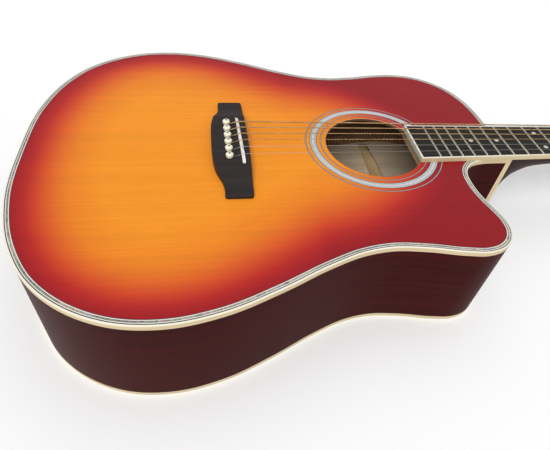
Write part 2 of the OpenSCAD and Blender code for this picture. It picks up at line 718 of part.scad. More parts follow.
housing_to_worm = worm_offset + 4.6;
housing_floor = -head_t - housing_depth;
worm_end_r = 1.2;
pivot_r = 1.5;
module at_worm(y) translate([worm_offset, y, worm_h]) rotate([-90, 0, 0]) children();
module tuner_housing() difference() {
    union() {
        translate([-housing_half, -housing_half, housing_floor])
            cube([housing_half + housing_to_worm + housing_wall, 2 * housing_half, housing_depth]);
        // screw ear
        translate([-ear_screw - 4, -4, -head_t - ear_t]) cube([10, 8, ear_t]);
        // collar of the worm shaft
        at_worm(0) cylinder(r = 3.4, h = housing_half + 3);
    }
    translate([-housing_half + housing_wall, -housing_half + housing_wall, housing_floor + 2])
        cube([housing_half + housing_to_worm - housing_wall, 2 * (housing_half - housing_wall), 30]);
    at_worm(0.5 - housing_half) cylinder(r = worm_end_r + running_gap, h = 5);
    at_worm(0) cylinder(r = shaft_r + running_gap, h = 30);
    translate([0, 0, housing_floor + 0.6]) cylinder(r = pivot_r + running_gap, h = 5);
    translate([-ear_screw, 0, -head_t - 10]) cylinder(r = screw_r, h = 20);
}
module tuner_housings() color([0.8, 0.8, 0.82]) placed()
    for (i = SIX) at_tuner(i) outwards(i) tuner_housing();
module tuner_bushings() color([0.8, 0.8, 0.82]) placed()
    for (i = SIX) at_tuner(i) difference() {
        union() {
            cylinder(r = 6.4, h = 0.8);
            translate([0, 0, 0.8]) cylinder(r = 5.6, h = 1.8, $fn = 6);
            translate([0, 0, -9]) cylinder(r = bushing_r, h = 9);
        }
        translate([0, 0, -20]) cylinder(r = post_r + 0.06, h = 40);
    }
module head_screw(shank)
    rotate_extrude() polygon([
        [0, -shank], [screw_r, -shank], [screw_r, 0], [2.1, 0], [1.8, 0.9], [0, 1.1]]);
module head_screws() color([0.75, 0.75, 0.78]) placed() on_head() {
    ear_places() translate([0, 0, -head_t - ear_t]) rotate([180, 0, 0]) head_screw(10);
    translate([cover_screw, 0, cover_t]) head_screw(9);
}
// A string post: gear and pivot below, waist for the windings and a string hole above
post_top = 12;
gear_h = worm_h - gear_w / 2;
module tuner_post(i) color([0.85, 0.85, 0.87]) placed() at_tuner(i) {
    difference() {
        union() {
            translate([0, 0, housing_floor + 0.8]) cylinder(r = pivot_r, h = 6);
            translate([0, 0, gear_h + gear_w]) cylinder(r = post_r, h = 3.6 - gear_h - gear_w);
            translate([0, 0, 3.6]) cylinder(r = waist_r, h = 5.4);
            translate([0, 0, 9]) cylinder(r = post_r, h = post_top - 9.6);
            translate([0, 0, post_top - 0.6]) cylinder(r1 = post_r, r2 = post_r - 0.6, h = 0.6);
        }
        translate([-10, 0, 7.8]) rotate([0, 90, 0]) cylinder(r = 0.85, h = 20);
    }
    translate([0, 0, gear_h]) linear_extrude(gear_w) gear2d();
    for (k = [1 : 2]) winding(i, k);
}
gear_points = 8 * gear_teeth;
module gear2d() polygon([for (k = [0 : gear_points - 1])
    let (a = 360 * k / gear_points) (gear_r + tooth_depth * cos(gear_teeth * a)) * [cos(a), sin(a)]]);
// Turns of string that go round with the post, above the one that comes off it
module winding(i, k) {
    d = string_d[i - 1];
    translate([0, 0, wrap_h + k * (d + 0.1)])
        rotate_extrude() translate([waist_r + d / 2 - 0.05, 0]) circle(d = d, $fn = 24);
}
// Worm, shaft and button. The worm is a round bar that runs round its axis, which gives a
// single smooth thread
module tuner_button(i) color([0.85, 0.85, 0.87]) placed() at_tuner(i)
    translate([worm_offset, 0, worm_h]) {
        rotate([-90, 0, 0]) translate([0, 0, -worm_turns * worm_pitch / 2])
            linear_extrude(worm_turns * worm_pitch, twist = 360 * worm_turns,
                           slices = 8 * worm_turns, $fn = 12)
                rotate([0, 0, 180 * worm_turns]) translate([tooth_depth, 0]) circle(r = worm_r, $fn = 12);
        outwards(i) rotate([-90, 0, 0]) {
            translate([0, 0, -housing_half + 0.9]) cylinder(r = worm_end_r, h = housing_half);
            translate([0, 0, worm_turns * worm_pitch / 2 - 0.1])
                cylinder(r = shaft_r, h = button_in - post_y + 1 - worm_turns * worm_pitch / 2);
            translate([0, 0, button_in - post_y]) button();
        }
    }
module button() {
    cylinder(r = 3.2, h = 1.6);
    translate([0, 0, 1.4]) intersection() {
        linear_extrude(button_w) polygon([for (k = [0 : 31])
            let (a = 360 * k / 32)
            [3.6 * sign(cos(a)) * pow(abs(cos(a)), 0.7), 9.5 * sign(sin(a)) * pow(abs(sin(a)), 0.8)]]);
        translate([-10, 0, button_w / 2 - 4]) rotate([0, 90, 0]) cylinder(r = 10.8, h = 20);
    }
}

soundboard();
back();
side_bass();
side_treble();
end_strips();
top_binding();
back_binding();
purfling_lines();
purfling_abalone();
rosette_band();
rosette_lines();
lining_top();
lining_back();
neck_block();
tail_block();
x_brace();
transverse_brace();
tone_bars();
finger_braces();
bridge_plate();
back_braces();
back_center_strip();
bridge();
saddle();
end_pin();
heel_cap();
neck();
headstock();
headplate();
truss_rod();
truss_rod_nut();
truss_rod_cover();
fretboard();
fretboard_binding();
frets();
fret_markers();
nut();
wound_strings();
plain_strings();
tuner_housings();
tuner_bushings();
head_screws();
for (i = SIX) tuner_post(i);
for (i = SIX) tuner_button(i);
for (i = SIX) bridge_pin(i);
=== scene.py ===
"""A steel-string acoustic guitar with a sunburst top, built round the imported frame.

Shapes are worked out in guitar coordinates, in millimetres: x = 0 at the nut and negative
towards the tail, +y to the bass side, z = 0 on the soundboard. GUITAR takes them to the frame.
"""

import json
from math import asin, atan2, copysign, cos, exp, pi, radians, sin, sqrt

import bmesh
import bpy
import numpy as np
from mathutils import Matrix, Vector
from mathutils.geometry import delaunay_2d_cdt


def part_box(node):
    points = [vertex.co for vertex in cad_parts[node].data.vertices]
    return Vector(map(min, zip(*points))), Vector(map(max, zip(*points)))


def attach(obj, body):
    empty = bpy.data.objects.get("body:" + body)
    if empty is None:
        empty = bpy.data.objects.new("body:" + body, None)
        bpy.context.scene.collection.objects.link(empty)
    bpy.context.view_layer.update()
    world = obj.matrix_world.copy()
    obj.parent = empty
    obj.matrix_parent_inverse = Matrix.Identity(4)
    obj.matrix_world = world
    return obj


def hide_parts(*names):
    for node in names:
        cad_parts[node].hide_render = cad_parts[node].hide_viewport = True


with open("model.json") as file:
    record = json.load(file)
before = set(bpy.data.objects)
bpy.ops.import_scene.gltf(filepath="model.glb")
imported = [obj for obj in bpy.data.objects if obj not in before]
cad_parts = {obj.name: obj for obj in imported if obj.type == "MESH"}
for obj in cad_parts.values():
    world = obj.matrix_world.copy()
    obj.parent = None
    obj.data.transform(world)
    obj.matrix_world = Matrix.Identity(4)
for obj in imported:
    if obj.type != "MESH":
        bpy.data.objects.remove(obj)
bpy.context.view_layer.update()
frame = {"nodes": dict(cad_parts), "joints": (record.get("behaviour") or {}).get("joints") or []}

# ---- Measures, in millimetres ----
MM = 0.001
NUT_T = 5
NUT_H = 7
HEAD_FACE_Z = 2
HEAD_ANGLE = radians(13)
HEAD_LEN = 172
HEAD_T = 16
VENEER_T = 1.5
STRING_SCALE = 650
BOARD_W_NUT, BOARD_W_END = 43, 59.6
TOP_T = 3
BACK_T = 2.8
SIDE_T = 2.6
BINDING_W = 1.5
TOP_BINDING_H = 5
BACK_BINDING_H = 5
INLAY_T = 1.2
HOLE_R = 51.4
PIN_X = -664.8
PIN_HOLE_R = 2.75
SADDLE_X = -652.3
SADDLE_LEAN = radians(1.6)
SADDLE_H = 12.6
SADDLE_CAMBER_R = 500
BRIDGE_H = 9
BOARD_T = 5.5
BOARD_BINDING = 2
POST_Y = 25
PIN_SPREAD, SADDLE_SPREAD, NUT_SPREAD = 56, 54, 36
BALL_Z = -7.7
STRINGS = range(1, 7)
STRING_D = {1: 0.3, 2: 0.41, 3: 0.61, 4: 0.81, 5: 1.07, 6: 1.35}


def fret_x(n):
    return STRING_SCALE / 2 ** (n / 12) - STRING_SCALE


JOINT_X, LAST_FRET_X = fret_x(14), fret_x(20)
HOLE_X, BOARD_END = LAST_FRET_X - 64.5, LAST_FRET_X - 21.3


def board_half(x):
    """Half width of the fretboard, which widens evenly towards the body."""
    return (BOARD_W_NUT + (BOARD_W_END - BOARD_W_NUT) * x / BOARD_END) / 2


def spread_y(spread, i):
    return spread * ((i - 1) / 5 - 0.5)


def pin_y(i):
    return spread_y(PIN_SPREAD, i)


# ---- Guitar coordinates in the frame ----
pin_axis = next(j["axis"] for j in frame["joints"] if j["name"] == "bridge_pin_1_pull")
TILT = asin(pin_axis[0])
nut_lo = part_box("nut")[0]
NUT_FOOT = Vector((nut_lo.x, 0, nut_lo.z + NUT_T * MM * sin(TILT)))
GUITAR = Matrix.Translation(NUT_FOOT) @ Matrix.Rotation(TILT, 4, "Y") @ Matrix.Scale(MM, 4)
HEAD = Matrix.Translation((NUT_T, 0, HEAD_FACE_Z)) @ Matrix.Rotation(HEAD_ANGLE, 4, "Y")


def back_z(x, h):
    """The guitar z of what lies h above the flat back, at x."""
    return (h - NUT_FOOT.z / MM + x * sin(TILT)) / cos(TILT)


# ---- Materials ----
def linear(colour):
    """An 8-bit sRGB triple, or a grey from 0 to 1, as the linear colour that shaders take."""
    def one(v):
        v /= 255
        return v / 12.92 if v <= 0.04045 else ((v + 0.055) / 1.055) ** 2.4
    if not hasattr(colour, "__len__"):
        return (colour,) * 3 + (1,)
    return (*map(one, colour), 1.0) if len(colour) == 3 else colour


class Paint:
    """A node material with one principled shader. Its patterns lie in object coordinates, or in
    those of the vector attribute along."""

    def __init__(self, name, colour, roughness, along=None, **sockets):
        self.along = along
        self.material = bpy.data.materials.new(name)
        self.material.use_nodes = True
        self.tree = self.material.node_tree
        self.shader = self.tree.nodes["Principled BSDF"]
        self.feed(self.shader.inputs["Base Color"], colour)
        self.feed(self.shader.inputs["Roughness"], roughness)
        for key, value in sockets.items():
            self.feed(self.shader.inputs[key.replace("_", " ")], value)

    def feed(self, socket, value):
        if isinstance(value, bpy.types.NodeSocket):
            self.tree.links.new(value, socket)
        else:
            socket.default_value = linear(value) if socket.type == "RGBA" else value

    def node(self, kind, inputs=(), **settings):
        made = self.tree.nodes.new(kind)
        for key, value in settings.items():
            setattr(made, key, value)
        for key, value in dict(inputs).items():
            self.feed(made.inputs[key], value)
        return made

    def place(self, stretch):
        """The pattern's coordinates, stretched: units are features per metre."""
        if self.along:
            source = self.node("ShaderNodeAttribute", attribute_name=self.along).outputs["Vector"]
        else:
            source = self.node("ShaderNodeTexCoord").outputs["Object"]
        return self.node("ShaderNodeMapping", {"Vector": source, "Scale": stretch}).outputs[0]

    def value(self, attribute):
        return self.node("ShaderNodeAttribute", attribute_name=attribute).outputs["Fac"]

    def noise(self, stretch, detail, roughness=0.5, distortion=0.0):
        return self.node("ShaderNodeTexNoise", {
            "Vector": self.place(stretch), "Scale": 1, "Detail": detail, "Roughness": roughness,
            "Distortion": distortion}).outputs["Fac"]

    def math(self, operation, a, b=0.0):
        return self.node("ShaderNodeMath", {0: a, 1: b}, operation=operation).outputs[0]

    def ramp(self, factor, stops):
        made = self.node("ShaderNodeValToRGB", {"Fac": factor})
        elements = made.color_ramp.elements
        while len(elements) < len(stops):
            elements.new(0.5)
        for element, (position, colour) in zip(elements, stops):
            element.position, element.color = position, linear(colour)
        return made.outputs["Color"]

    def mix(self, factor, a, b, blend="MIX"):
        made = self.node("ShaderNodeMix", data_type="RGBA", blend_type=blend)
        self.feed(made.inputs[0], factor)
        self.feed(made.inputs[6], a)
        self.feed(made.inputs[7], b)
        return made.outputs[2]

    def times(self, a, b):
        return self.mix(1.0, a, b, "MULTIPLY")

    def shade(self, colour, factor, low, high):
        """The colour times a grey from low to high as the factor goes from 0 to 1."""
        return self.times(colour, self.ramp(factor, [(0.25, low), (0.75, high)]))

    def colour(self, value):
        self.feed(self.shader.inputs["Base Color"], value)

    def roughness(self, factor, low, high):
        self.feed(self.shader.inputs["Roughness"], self.ramp(factor, [(0.2, low), (0.8, high)]))

    def bump(self, height, depth):
        """A bump of that depth in metres."""
        made = self.node("ShaderNodeBump", {"Height": height, "Distance": depth, "Strength": 1.0})
        self.feed(self.shader.inputs["Normal"], made.outputs[0])


def wood(name, dark, light, along, across, roughness=0.5, pores=0.0, attribute=None, **sockets):
    """Wood with its grain along x: bands of colour, fine fibres and, if asked, dark pores."""
    paint = Paint(name, light, roughness, attribute, **sockets)
    bands = paint.noise((along, across, across), 4, 0.6, 0.6)
    fibres = paint.noise((along * 6, across * 9, across * 9), 3, 0.6)
    colour = paint.ramp(bands, [(0.32, dark), (0.68, light)])
    colour = paint.shade(colour, fibres, 0.82, 1.05)
    height = fibres
    if pores:
        pore = paint.noise((along * 14, across * 22, across * 22), 1, 0.4)
        pore = paint.ramp(pore, [(0.30, 0.0), (0.38, 1.0)])
        colour = paint.times(colour, paint.mix(pores, (1, 1, 1, 1), pore))
        height = paint.math("MULTIPLY", fibres, pore)
    paint.colour(colour)
    paint.roughness(bands, roughness - 0.05, roughness + 0.06)
    paint.bump(height, 2e-5)
    return paint.material


def sunburst_top():
    """Spruce grain under a sunburst: the attribute is the distance in from the rim, over BURST_REACH. It is
    shortened towards the bass side, which reddens the top there as painted shade.
    """
    paint = Paint("sunburst_top", (240, 145, 45), 0.42, Specular_IOR_Level=0.22)
    burst = paint.ramp(paint.value("burst"), [
        (0.00, (148, 18, 28)), (0.10, (164, 24, 30)), (0.20, (186, 38, 32)),
        (0.31, (210, 70, 32)), (0.44, (226, 104, 32)), (0.60, (238, 132, 30)), (0.90, (248, 150, 32))])
    rings = paint.noise((2.5, 620, 40), 3, 0.55)
    broad = paint.noise((2, 42, 8), 3, 0.6, 0.4)
    fibres = paint.noise((30, 2600, 200), 2, 0.5)
    silk = paint.noise((38, 60, 20), 3, 0.6, 1.2)
    colour = paint.shade(burst, rings, 0.90, 1.03)
    colour = paint.shade(colour, broad, 0.955, 1.03)
    colour = paint.shade(colour, fibres, 0.95, 1.02)
    paint.colour(paint.shade(colour, silk, 0.97, 1.02))
    paint.roughness(fibres, 0.38, 0.46)
    paint.bump(rings, 1.5e-5)
    return paint.material


def cream(name, attribute=None, top=(240, 236, 218), side=(208, 188, 150)):
    """Grained ivory-coloured plastic, darker and yellower where it stands upright, speckled at its ends.
    The darker upright faces are painted shade.
    """
    paint = Paint(name, top, 0.4, attribute, Specular_IOR_Level=0.3)
    normal = paint.node("ShaderNodeSeparateXYZ", {
        0: paint.node("ShaderNodeNewGeometry").outputs["Normal"]})
    # Painted shade: faces that stand upright take the darker side colour.
    upright = paint.ramp(paint.math("ABSOLUTE", normal.outputs["Z"]), [(0.25, 1.0), (0.8, 0.0)])
    grain = paint.noise((14, 700, 700), 3, 0.6, 0.5)
    colour = paint.mix(upright, top, side)
    colour = paint.shade(colour, grain, 0.86, 1.06)
    if not attribute:
        end = paint.ramp(paint.math("ABSOLUTE", normal.outputs["X"]), [(0.9, 0.0), (0.97, 1.0)])
        speckle = paint.noise((1300, 1300, 1300), 2, 0.6)
        mottled = paint.ramp(speckle, [(0.38, (150, 146, 134)), (0.6, (240, 238, 226))])
        colour = paint.mix(end, colour, mottled)
    paint.colour(colour)
    paint.roughness(grain, 0.36, 0.46)
    paint.bump(grain, 1e-5)
    return paint.material


def abalone():
    """Strips of shell end to end, with swirls of green, pink, blue and gold."""
    paint = Paint("abalone", (120, 130, 126), 0.25, "flow", Coat_Weight=0.3, Coat_Roughness=0.1)
    swirl = paint.noise((170, 420, 420), 4, 0.65, 2.6)
    hue = paint.noise((90, 200, 200), 2, 0.5, 0.8)
    tone = paint.ramp(swirl, [(0.32, (34, 36, 40)), (0.42, (92, 98, 96)), (0.48, (206, 204, 194)),
        (0.53, (120, 124, 124)), (0.58, (224, 220, 212)), (0.68, (50, 54, 60))])
    tint = paint.ramp(hue, [(0.34, (196, 228, 176)), (0.41, (240, 240, 226)), (0.47, (255, 212, 160)),
        (0.52, (240, 236, 228)), (0.58, (246, 206, 190)), (0.66, (186, 204, 242))])
    strips = paint.node("ShaderNodeTexVoronoi", {"Vector": paint.place((46, 0, 0)), "Scale": 1})
    chance = paint.node("ShaderNodeSeparateColor", {0: strips.outputs["Color"]}).outputs[0]
    paint.colour(paint.shade(paint.times(tone, tint), chance, 0.7, 1.15))
    paint.bump(swirl, 1e-5)
    return paint.material


def plastic(name, colour, roughness=0.3, mottle=0.06, coat=0.3):
    """Moulded or polished plastic with faint clouding and handling marks."""
    paint = Paint(name, colour, roughness, Coat_Weight=coat, Coat_Roughness=0.12)
    cloud = paint.noise((90, 90, 90), 3, 0.55)
    fine = paint.noise((1500, 1500, 1500), 2, 0.5)
    paint.colour(paint.shade(colour, cloud, 1 - mottle, 1 + mottle / 2))
    paint.roughness(cloud, roughness - 0.05, roughness + 0.07)
    paint.bump(fine, 6e-6)
    return paint.material


def metal(name, colour, roughness, brushed=(400, 400, 400), wear=0.1):
    """Plated or drawn metal with fine marks."""
    paint = Paint(name, colour, roughness, Metallic=1.0)
    marks = paint.noise(brushed, 3, 0.6)
    smudge = paint.noise((120, 120, 120), 2, 0.5)
    paint.colour(paint.shade(colour, smudge, 1 - wear, 1.0))
    paint.roughness(marks, max(0.03, roughness - 0.06), roughness + 0.08)
    paint.bump(marks, 4e-6)
    return paint.material


def wound_bronze():
    """Round winding on a core: ridges 0.4 mm apart along the string, with painted shade darkening the
    grooves between them.
    """
    paint = Paint("wound_bronze", (196, 150, 98), 0.32, Metallic=1.0)
    along = paint.node("ShaderNodeSeparateXYZ", {0: paint.place((1, 1, 1))}).outputs[0]
    wave = paint.math("SINE", paint.math("MULTIPLY", along, 2 * pi / 0.0004))
    ridge = paint.math("MULTIPLY_ADD", wave, 0.5)
    tarnish = paint.noise((60, 60, 60), 3, 0.6)
    colour = paint.ramp(tarnish, [(0.35, (190, 150, 100)), (0.65, (226, 192, 142))])
    # Painted shade: the colour drops to 0.7 in the grooves between windings.
    paint.colour(paint.shade(colour, ridge, 0.7, 1.0))
    paint.bump(ridge, 6e-5)
    return paint.material


def pearl():
    paint = Paint("pearl_dots", (232, 232, 228), 0.2, Coat_Weight=0.5, Coat_Roughness=0.08)
    swirl = paint.noise((420, 420, 420), 4, 0.6, 2.0)
    paint.colour(paint.ramp(swirl, [
        (0.3, (166, 172, 176)), (0.5, (214, 212, 204)), (0.7, (188, 182, 190))]))
    paint.bump(swirl, 1e-5)
    return paint.material


def floor_paint():
    paint = Paint("floor", (0.97, 0.97, 0.97, 1), 0.8, Specular_IOR_Level=0.1)
    cloud = paint.noise((3, 3, 3), 2)
    paint.colour(paint.ramp(cloud, [(0.3, 0.965), (0.7, 0.975)]))
    return paint.material


TOP = sunburst_top()
SPRUCE = wood("brace_spruce", (198, 164, 116), (226, 198, 152), 3, 420, 0.6)
RAW_EDGE = wood("raw_edge", (206, 168, 120), (232, 204, 160), 4, 500, 0.65)
HOLE_WALL = wood("hole_wall", (96, 66, 40), (128, 92, 60), 4, 300, 0.65)
SIDES = wood("side_wood", (50, 15, 14), (68, 21, 19), 5, 240, 0.42, 0.35, "flow",
    Specular_IOR_Level=0.03)
BACK_OUT = wood("back_wood", (52, 23, 20), (76, 35, 32), 3, 60, 0.4, 0.4,
    Specular_IOR_Level=0.3, Coat_Weight=0.2, Coat_Roughness=0.2)
INSIDE = wood("inner_wood", (214, 192, 160), (236, 218, 190), 3, 90, 0.7, 0.2)
INSIDE_SIDE = wood("inner_side", (98, 70, 48), (132, 98, 70), 5, 160, 0.7, 0.3, "flow")
LINING = wood("lining_wood", (126, 90, 62), (168, 128, 92), 20, 300, 0.7, 0.3)
BLOCK = wood("block_wood", (176, 132, 88), (206, 164, 116), 8, 160, 0.65, 0.3)
PLATE = wood("plate_wood", (110, 62, 38), (146, 90, 58), 14, 200, 0.6, 0.3)
NECK = wood("neck_wood", (44, 27, 27), (62, 38, 37), 3, 200, 0.42, 0.4, Specular_IOR_Level=0.12)
BRIDGE = wood("bridge_wood", (35, 29, 30), (53, 45, 45), 6, 300, 0.5, 0.4, Specular_IOR_Level=0.2)
BOARD = wood("fretboard_wood", (24, 22, 21), (46, 43, 39), 5, 420, 0.5, 0.4, Specular_IOR_Level=0.2)
VENEER = wood("dark_veneer", (20, 16, 16), (38, 31, 30), 4, 300, 0.3, 0.4,
    Coat_Weight=0.6, Coat_Roughness=0.1)
# The side colours of these creams are darker than their tops: painted shade on upright faces.
CREAM = cream("cream_binding")
CREAM_RIM = cream("cream_rim", "flow")
HEEL_CREAM = cream("heel_strip", "flow", (236, 224, 192), (222, 202, 160))
TAN_LINE = wood("tan_line", (196, 168, 122), (214, 190, 146), 20, 600, 0.45)
SHELL = abalone()
BLACK_LINE = plastic("black_line", (36, 36, 42), 0.45, coat=0)
WHITE_LINE = plastic("white_line", (230, 230, 226), 0.4, coat=0)
GREY_LINE = plastic("grey_line", (182, 194, 198), 0.4, 0.1, 0)
DARK_GREY = plastic("dark_grey_line", (96, 104, 110), 0.4, 0.1, 0)
BLACK = plastic("black_plastic", (20, 20, 21), 0.18, 0.1, 0.6)
IVORY = plastic("ivory_pins", (240, 234, 210), 0.3, 0.06, 0.2)
BONE = plastic("white_bone", (236, 232, 222), 0.4, 0.06, 0)
PEARL = pearl()
CHROME = metal("chrome", (0.86, 0.87, 0.89, 1), 0.1)
STEEL = metal("plain_steel", (0.42, 0.41, 0.4, 1), 0.4, (60, 2500, 2500))
ROD_STEEL = metal("rod_steel", (0.42, 0.42, 0.43, 1), 0.42, (60, 900, 900), 0.3)
BRASS = metal("brass", (0.83, 0.62, 0.3, 1), 0.28)
FRET = metal("fret_wire", (0.74, 0.68, 0.54, 1), 0.3, (900, 40, 900))
BRONZE = wound_bronze()


# ---- Mesh helpers ----
def placed(name, data):
    """A new object in the scene."""
    made = bpy.data.objects.new(name, data)
    bpy.context.scene.collection.objects.link(made)
    return made


def add_piece(name, verts, faces, materials, slot, replaces=(), body="guitar", at=Matrix(),
        face_materials=None, attributes=None, weld=0.0, smooth=35):
    """A piece from points in millimetres. attributes gives point values, or works them out."""
    mesh = bpy.data.meshes.new(name)
    mesh.from_pydata([tuple(v) for v in verts], [], [list(f) for f in faces])
    for material in materials if isinstance(materials, (list, tuple)) else [materials]:
        mesh.materials.append(material)
    if face_materials is not None:
        mesh.polygons.foreach_set("material_index", face_materials)
    work = bmesh.new()
    work.from_mesh(mesh)
    if weld:
        bmesh.ops.remove_doubles(work, verts=work.verts, dist=weld)
    bmesh.ops.recalc_face_normals(work, faces=work.faces)
    work.to_mesh(mesh)
    work.free()
    if callable(attributes):
        attributes = attributes(np.array([v.co[:] for v in mesh.vertices]))
    for key, values in (attributes or {}).items():
        values = np.asarray(values, np.float32)
        vector = values.ndim == 2
        layer = mesh.attributes.new(key, "FLOAT_VECTOR" if vector else "FLOAT", "POINT")
        layer.data.foreach_set("vector" if vector else "value", values.ravel())
    mesh.polygons.foreach_set("use_smooth", [True] * len(mesh.polygons))
    mesh.set_sharp_from_angle(angle=radians(smooth))
    mesh.transform(GUITAR @ at)
    piece = placed(name, mesh)
    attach(piece, body)
    if replaces:
        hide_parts(*([replaces] if isinstance(replaces, str) else replaces))
    return piece


class Solid:
    """Points and faces of several closed shapes that make one piece."""

    def __init__(self):
        self.verts, self.faces, self.tints = [], [], []

    def add(self, verts, faces, tints):
        first = len(self.verts)
        self.verts += [tuple(v) for v in verts]
        self.faces += [[first + i for i in f] for f in faces]
        self.tints += tints

    def loft(self, rings, tint=0, closed=False, tints=None):
        """Rings of equally many points, joined in turn and capped, or joined into a loop. tints
        gives each side of the section its own material number."""
        n, count = len(rings[0]), len(rings)
        faces, kinds = [], []
        for j in range(count if closed else count - 1):
            a, b = j * n, (j + 1) % count * n
            faces += [[a + k, a + (k + 1) % n, b + (k + 1) % n, b + k] for k in range(n)]
            kinds += tints or [tint] * n
        if not closed:
            faces += [list(range(n))[::-1], [(count - 1) * n + k for k in range(n)]]
            kinds += [tint, tint]
        self.add([p for ring in rings for p in ring], faces, kinds)

    def lathe(self, profile, at=Matrix(), sides=40, tint=0, shape=None):
        """A profile of (radius, height) turned about z."""
        rings = []
        for radius, height in profile:
            ring = []
            for k in range(sides):
                a = 2 * pi * k / sides
                p = Vector((radius * cos(a), radius * sin(a), height))
                ring.append(at @ (shape(p) if shape else p))
            rings.append(ring)
        self.loft(rings, tint)

    def box(self, lo, hi, radius, at):
        """A box with its edges rounded."""
        work = bmesh.new()
        bmesh.ops.create_cube(work, size=1)
        for v in work.verts:
            v.co = Vector([lo[k] if v.co[k] < 0 else hi[k] for k in range(3)])
        bmesh.ops.bevel(work, geom=work.edges[:], offset=radius, segments=4, profile=0.5,
            affect="EDGES")
        work.verts.index_update()
        self.add([at @ v.co for v in work.verts], [[v.index for v in f.verts] for f in work.faces],
            [0] * len(work.faces))
        work.free()

    def piece(self, name, materials, slot, **more):
        return add_piece(name, self.verts, self.faces, materials, slot,
            face_materials=self.tints, **more)


def spline(points, per):
    """A smooth open curve through points of any dimension, per steps to each stretch."""
    p = np.asarray(points, float)
    p = np.vstack([2 * p[0] - p[1], p, 2 * p[-1] - p[-2]])
    made = []
    for i in range(1, len(p) - 2):
        for u in np.arange(per) / per:
            made.append(0.5 * (2 * p[i] + (p[i + 1] - p[i - 1]) * u
                + (2 * p[i - 1] - 5 * p[i] + 4 * p[i + 1] - p[i + 2]) * u * u
                + (3 * p[i] - p[i - 1] - 3 * p[i + 1] + p[i + 2]) * u ** 3))
    return np.vstack([made, p[-2]])


def circle(x, y, radius, count):
    a = np.arange(count) * 2 * np.pi / count
    return np.c_[x + radius * np.cos(a), y + radius * np.sin(a)]


def inside(points, loop):
    """Which points lie inside a closed loop."""
    a, b = loop, np.roll(loop, -1, 0)
    crosses = (a[:, 1] > points[:, 1:2]) != (b[:, 1] > points[:, 1:2])
    rise = np.where(b[:, 1] == a[:, 1], 1e-9, b[:, 1] - a[:, 1])
    x = a[:, 0] + (points[:, 1:2] - a[:, 1]) * (b[:, 0] - a[:, 0]) / rise
    return (crosses & (points[:, 0:1] < x)).sum(1) % 2 == 1


def distance_to(points, loop):
    """Distance from each point to a closed loop."""
    a, ab = loop, np.roll(loop, -1, 0) - loop
    best = np.full(len(points), 1e9)
    square = (ab * ab).sum(1) + 1e-12
    for k in range(0, len(points), 500):
        p = points[k:k + 500, None, :2]
        t = np.clip(((p - a) * ab).sum(2) / square, 0, 1)
        best[k:k + 500] = np.sqrt((((a + ab * t[..., None]) - p) ** 2).sum(2)).min(1)
    return best


def inset_loop(loop, w):
    """A closed anticlockwise loop moved inwards by w, corner by corner."""
    step = np.roll(loop, -1, 0) - loop
    left = np.c_[-step[:, 1], step[:, 0]] / np.linalg.norm(step, axis=1)[:, None]
    before = np.roll(left, 1, 0)
    return loop + (before + left) * w / (1 + (before * left).sum(1))[:, None]


def relief(name, loops, layer, top, bottom, materials, slot, grid=None, tints=None, wall=0,
        under=0, **more):
    """A closed solid over a flat map cut up by loops.

    layer(centres) gives each triangle's level, below 0 for a hole; top(points, level) and
    bottom(points) give heights; tints, wall and under are the material numbers of the levels,
    the upright faces and the underside.
    """
    points, edges = [], []
    for loop in loops:
        first = len(points)
        points += [tuple(p) for p in loop]
        edges += [(first + k, first + (k + 1) % len(loop)) for k in range(len(loop))]
    if grid:
        fixed = np.array(points)
        lo, hi = fixed.min(0) + grid / 2, fixed.max(0)
        fill = np.stack(np.meshgrid(np.arange(lo[0], hi[0], grid),
            np.arange(lo[1], hi[1], grid)), -1).reshape(-1, 2)
        gap = np.array([((fixed - p) ** 2).sum(1).min() for p in fill])
        points += [tuple(p) for p in fill[gap > (0.45 * grid) ** 2]]
    flat, _, triangles = delaunay_2d_cdt([Vector(p) for p in points], edges, [], 0, 1e-5)[:3]
    flat = np.array([p[:] for p in flat])
    triangles = np.array([t for t in triangles if len(t) == 3])
    a, b, c = (flat[triangles[:, k]] for k in range(3))
    turned = (b[:, 0] - a[:, 0]) * (c[:, 1] - a[:, 1]) < (b[:, 1] - a[:, 1]) * (c[:, 0] - a[:, 0])
    triangles[turned] = triangles[turned][:, ::-1]
    level = np.asarray(layer(flat[triangles].mean(1)))
    heights = {k: top(flat, k) * np.ones(len(flat)) for k in set(level) if k >= 0}
    heights["under"] = bottom(flat) * np.ones(len(flat))
    verts, index, faces, kinds, owner = [], {}, [], [], {}

    def corner(v, key):
        if (v, key) not in index:
            index[v, key] = len(verts)
            verts.append((flat[v, 0], flat[v, 1], heights[key][v]))
        return index[v, key]

    for t, k in zip(triangles.tolist(), level.tolist()):
        if k < 0:
            continue
        faces += [[corner(v, k) for v in t], [corner(v, "under") for v in t[::-1]]]
        kinds += [tints[k] if tints else 0, under]
        owner.update({(t[j], t[(j + 1) % 3]): k for j in range(3)})
    for (p, q), k in owner.items():
        other = owner.get((q, p))
        if other is None or other > k:
            low = "under" if other is None else other
            faces.append([corner(p, k), corner(p, low), corner(q, low), corner(q, k)])
            kinds.append(wall)
    return add_piece(name, verts, faces, materials, slot, face_materials=kinds, weld=1e-3, **more)


def plate(name, loop, lips, top, bottom, materials, slot, **more):
    """A relief over one outline, with rings of points at the insets in lips."""
    relief(name, [loop, *(inset_loop(loop, w) for w in lips)],
        lambda c: np.where(inside(c, loop), 0, -1), lambda p, k: top(p), bottom, materials, slot,
        **more)


def rounded_edge(d, radius):
    """How far a surface drops at distance d inside an edge of that radius."""
    t = np.clip(d, 0, radius)
    return radius - np.sqrt(np.maximum(0, radius ** 2 - (radius - t) ** 2))


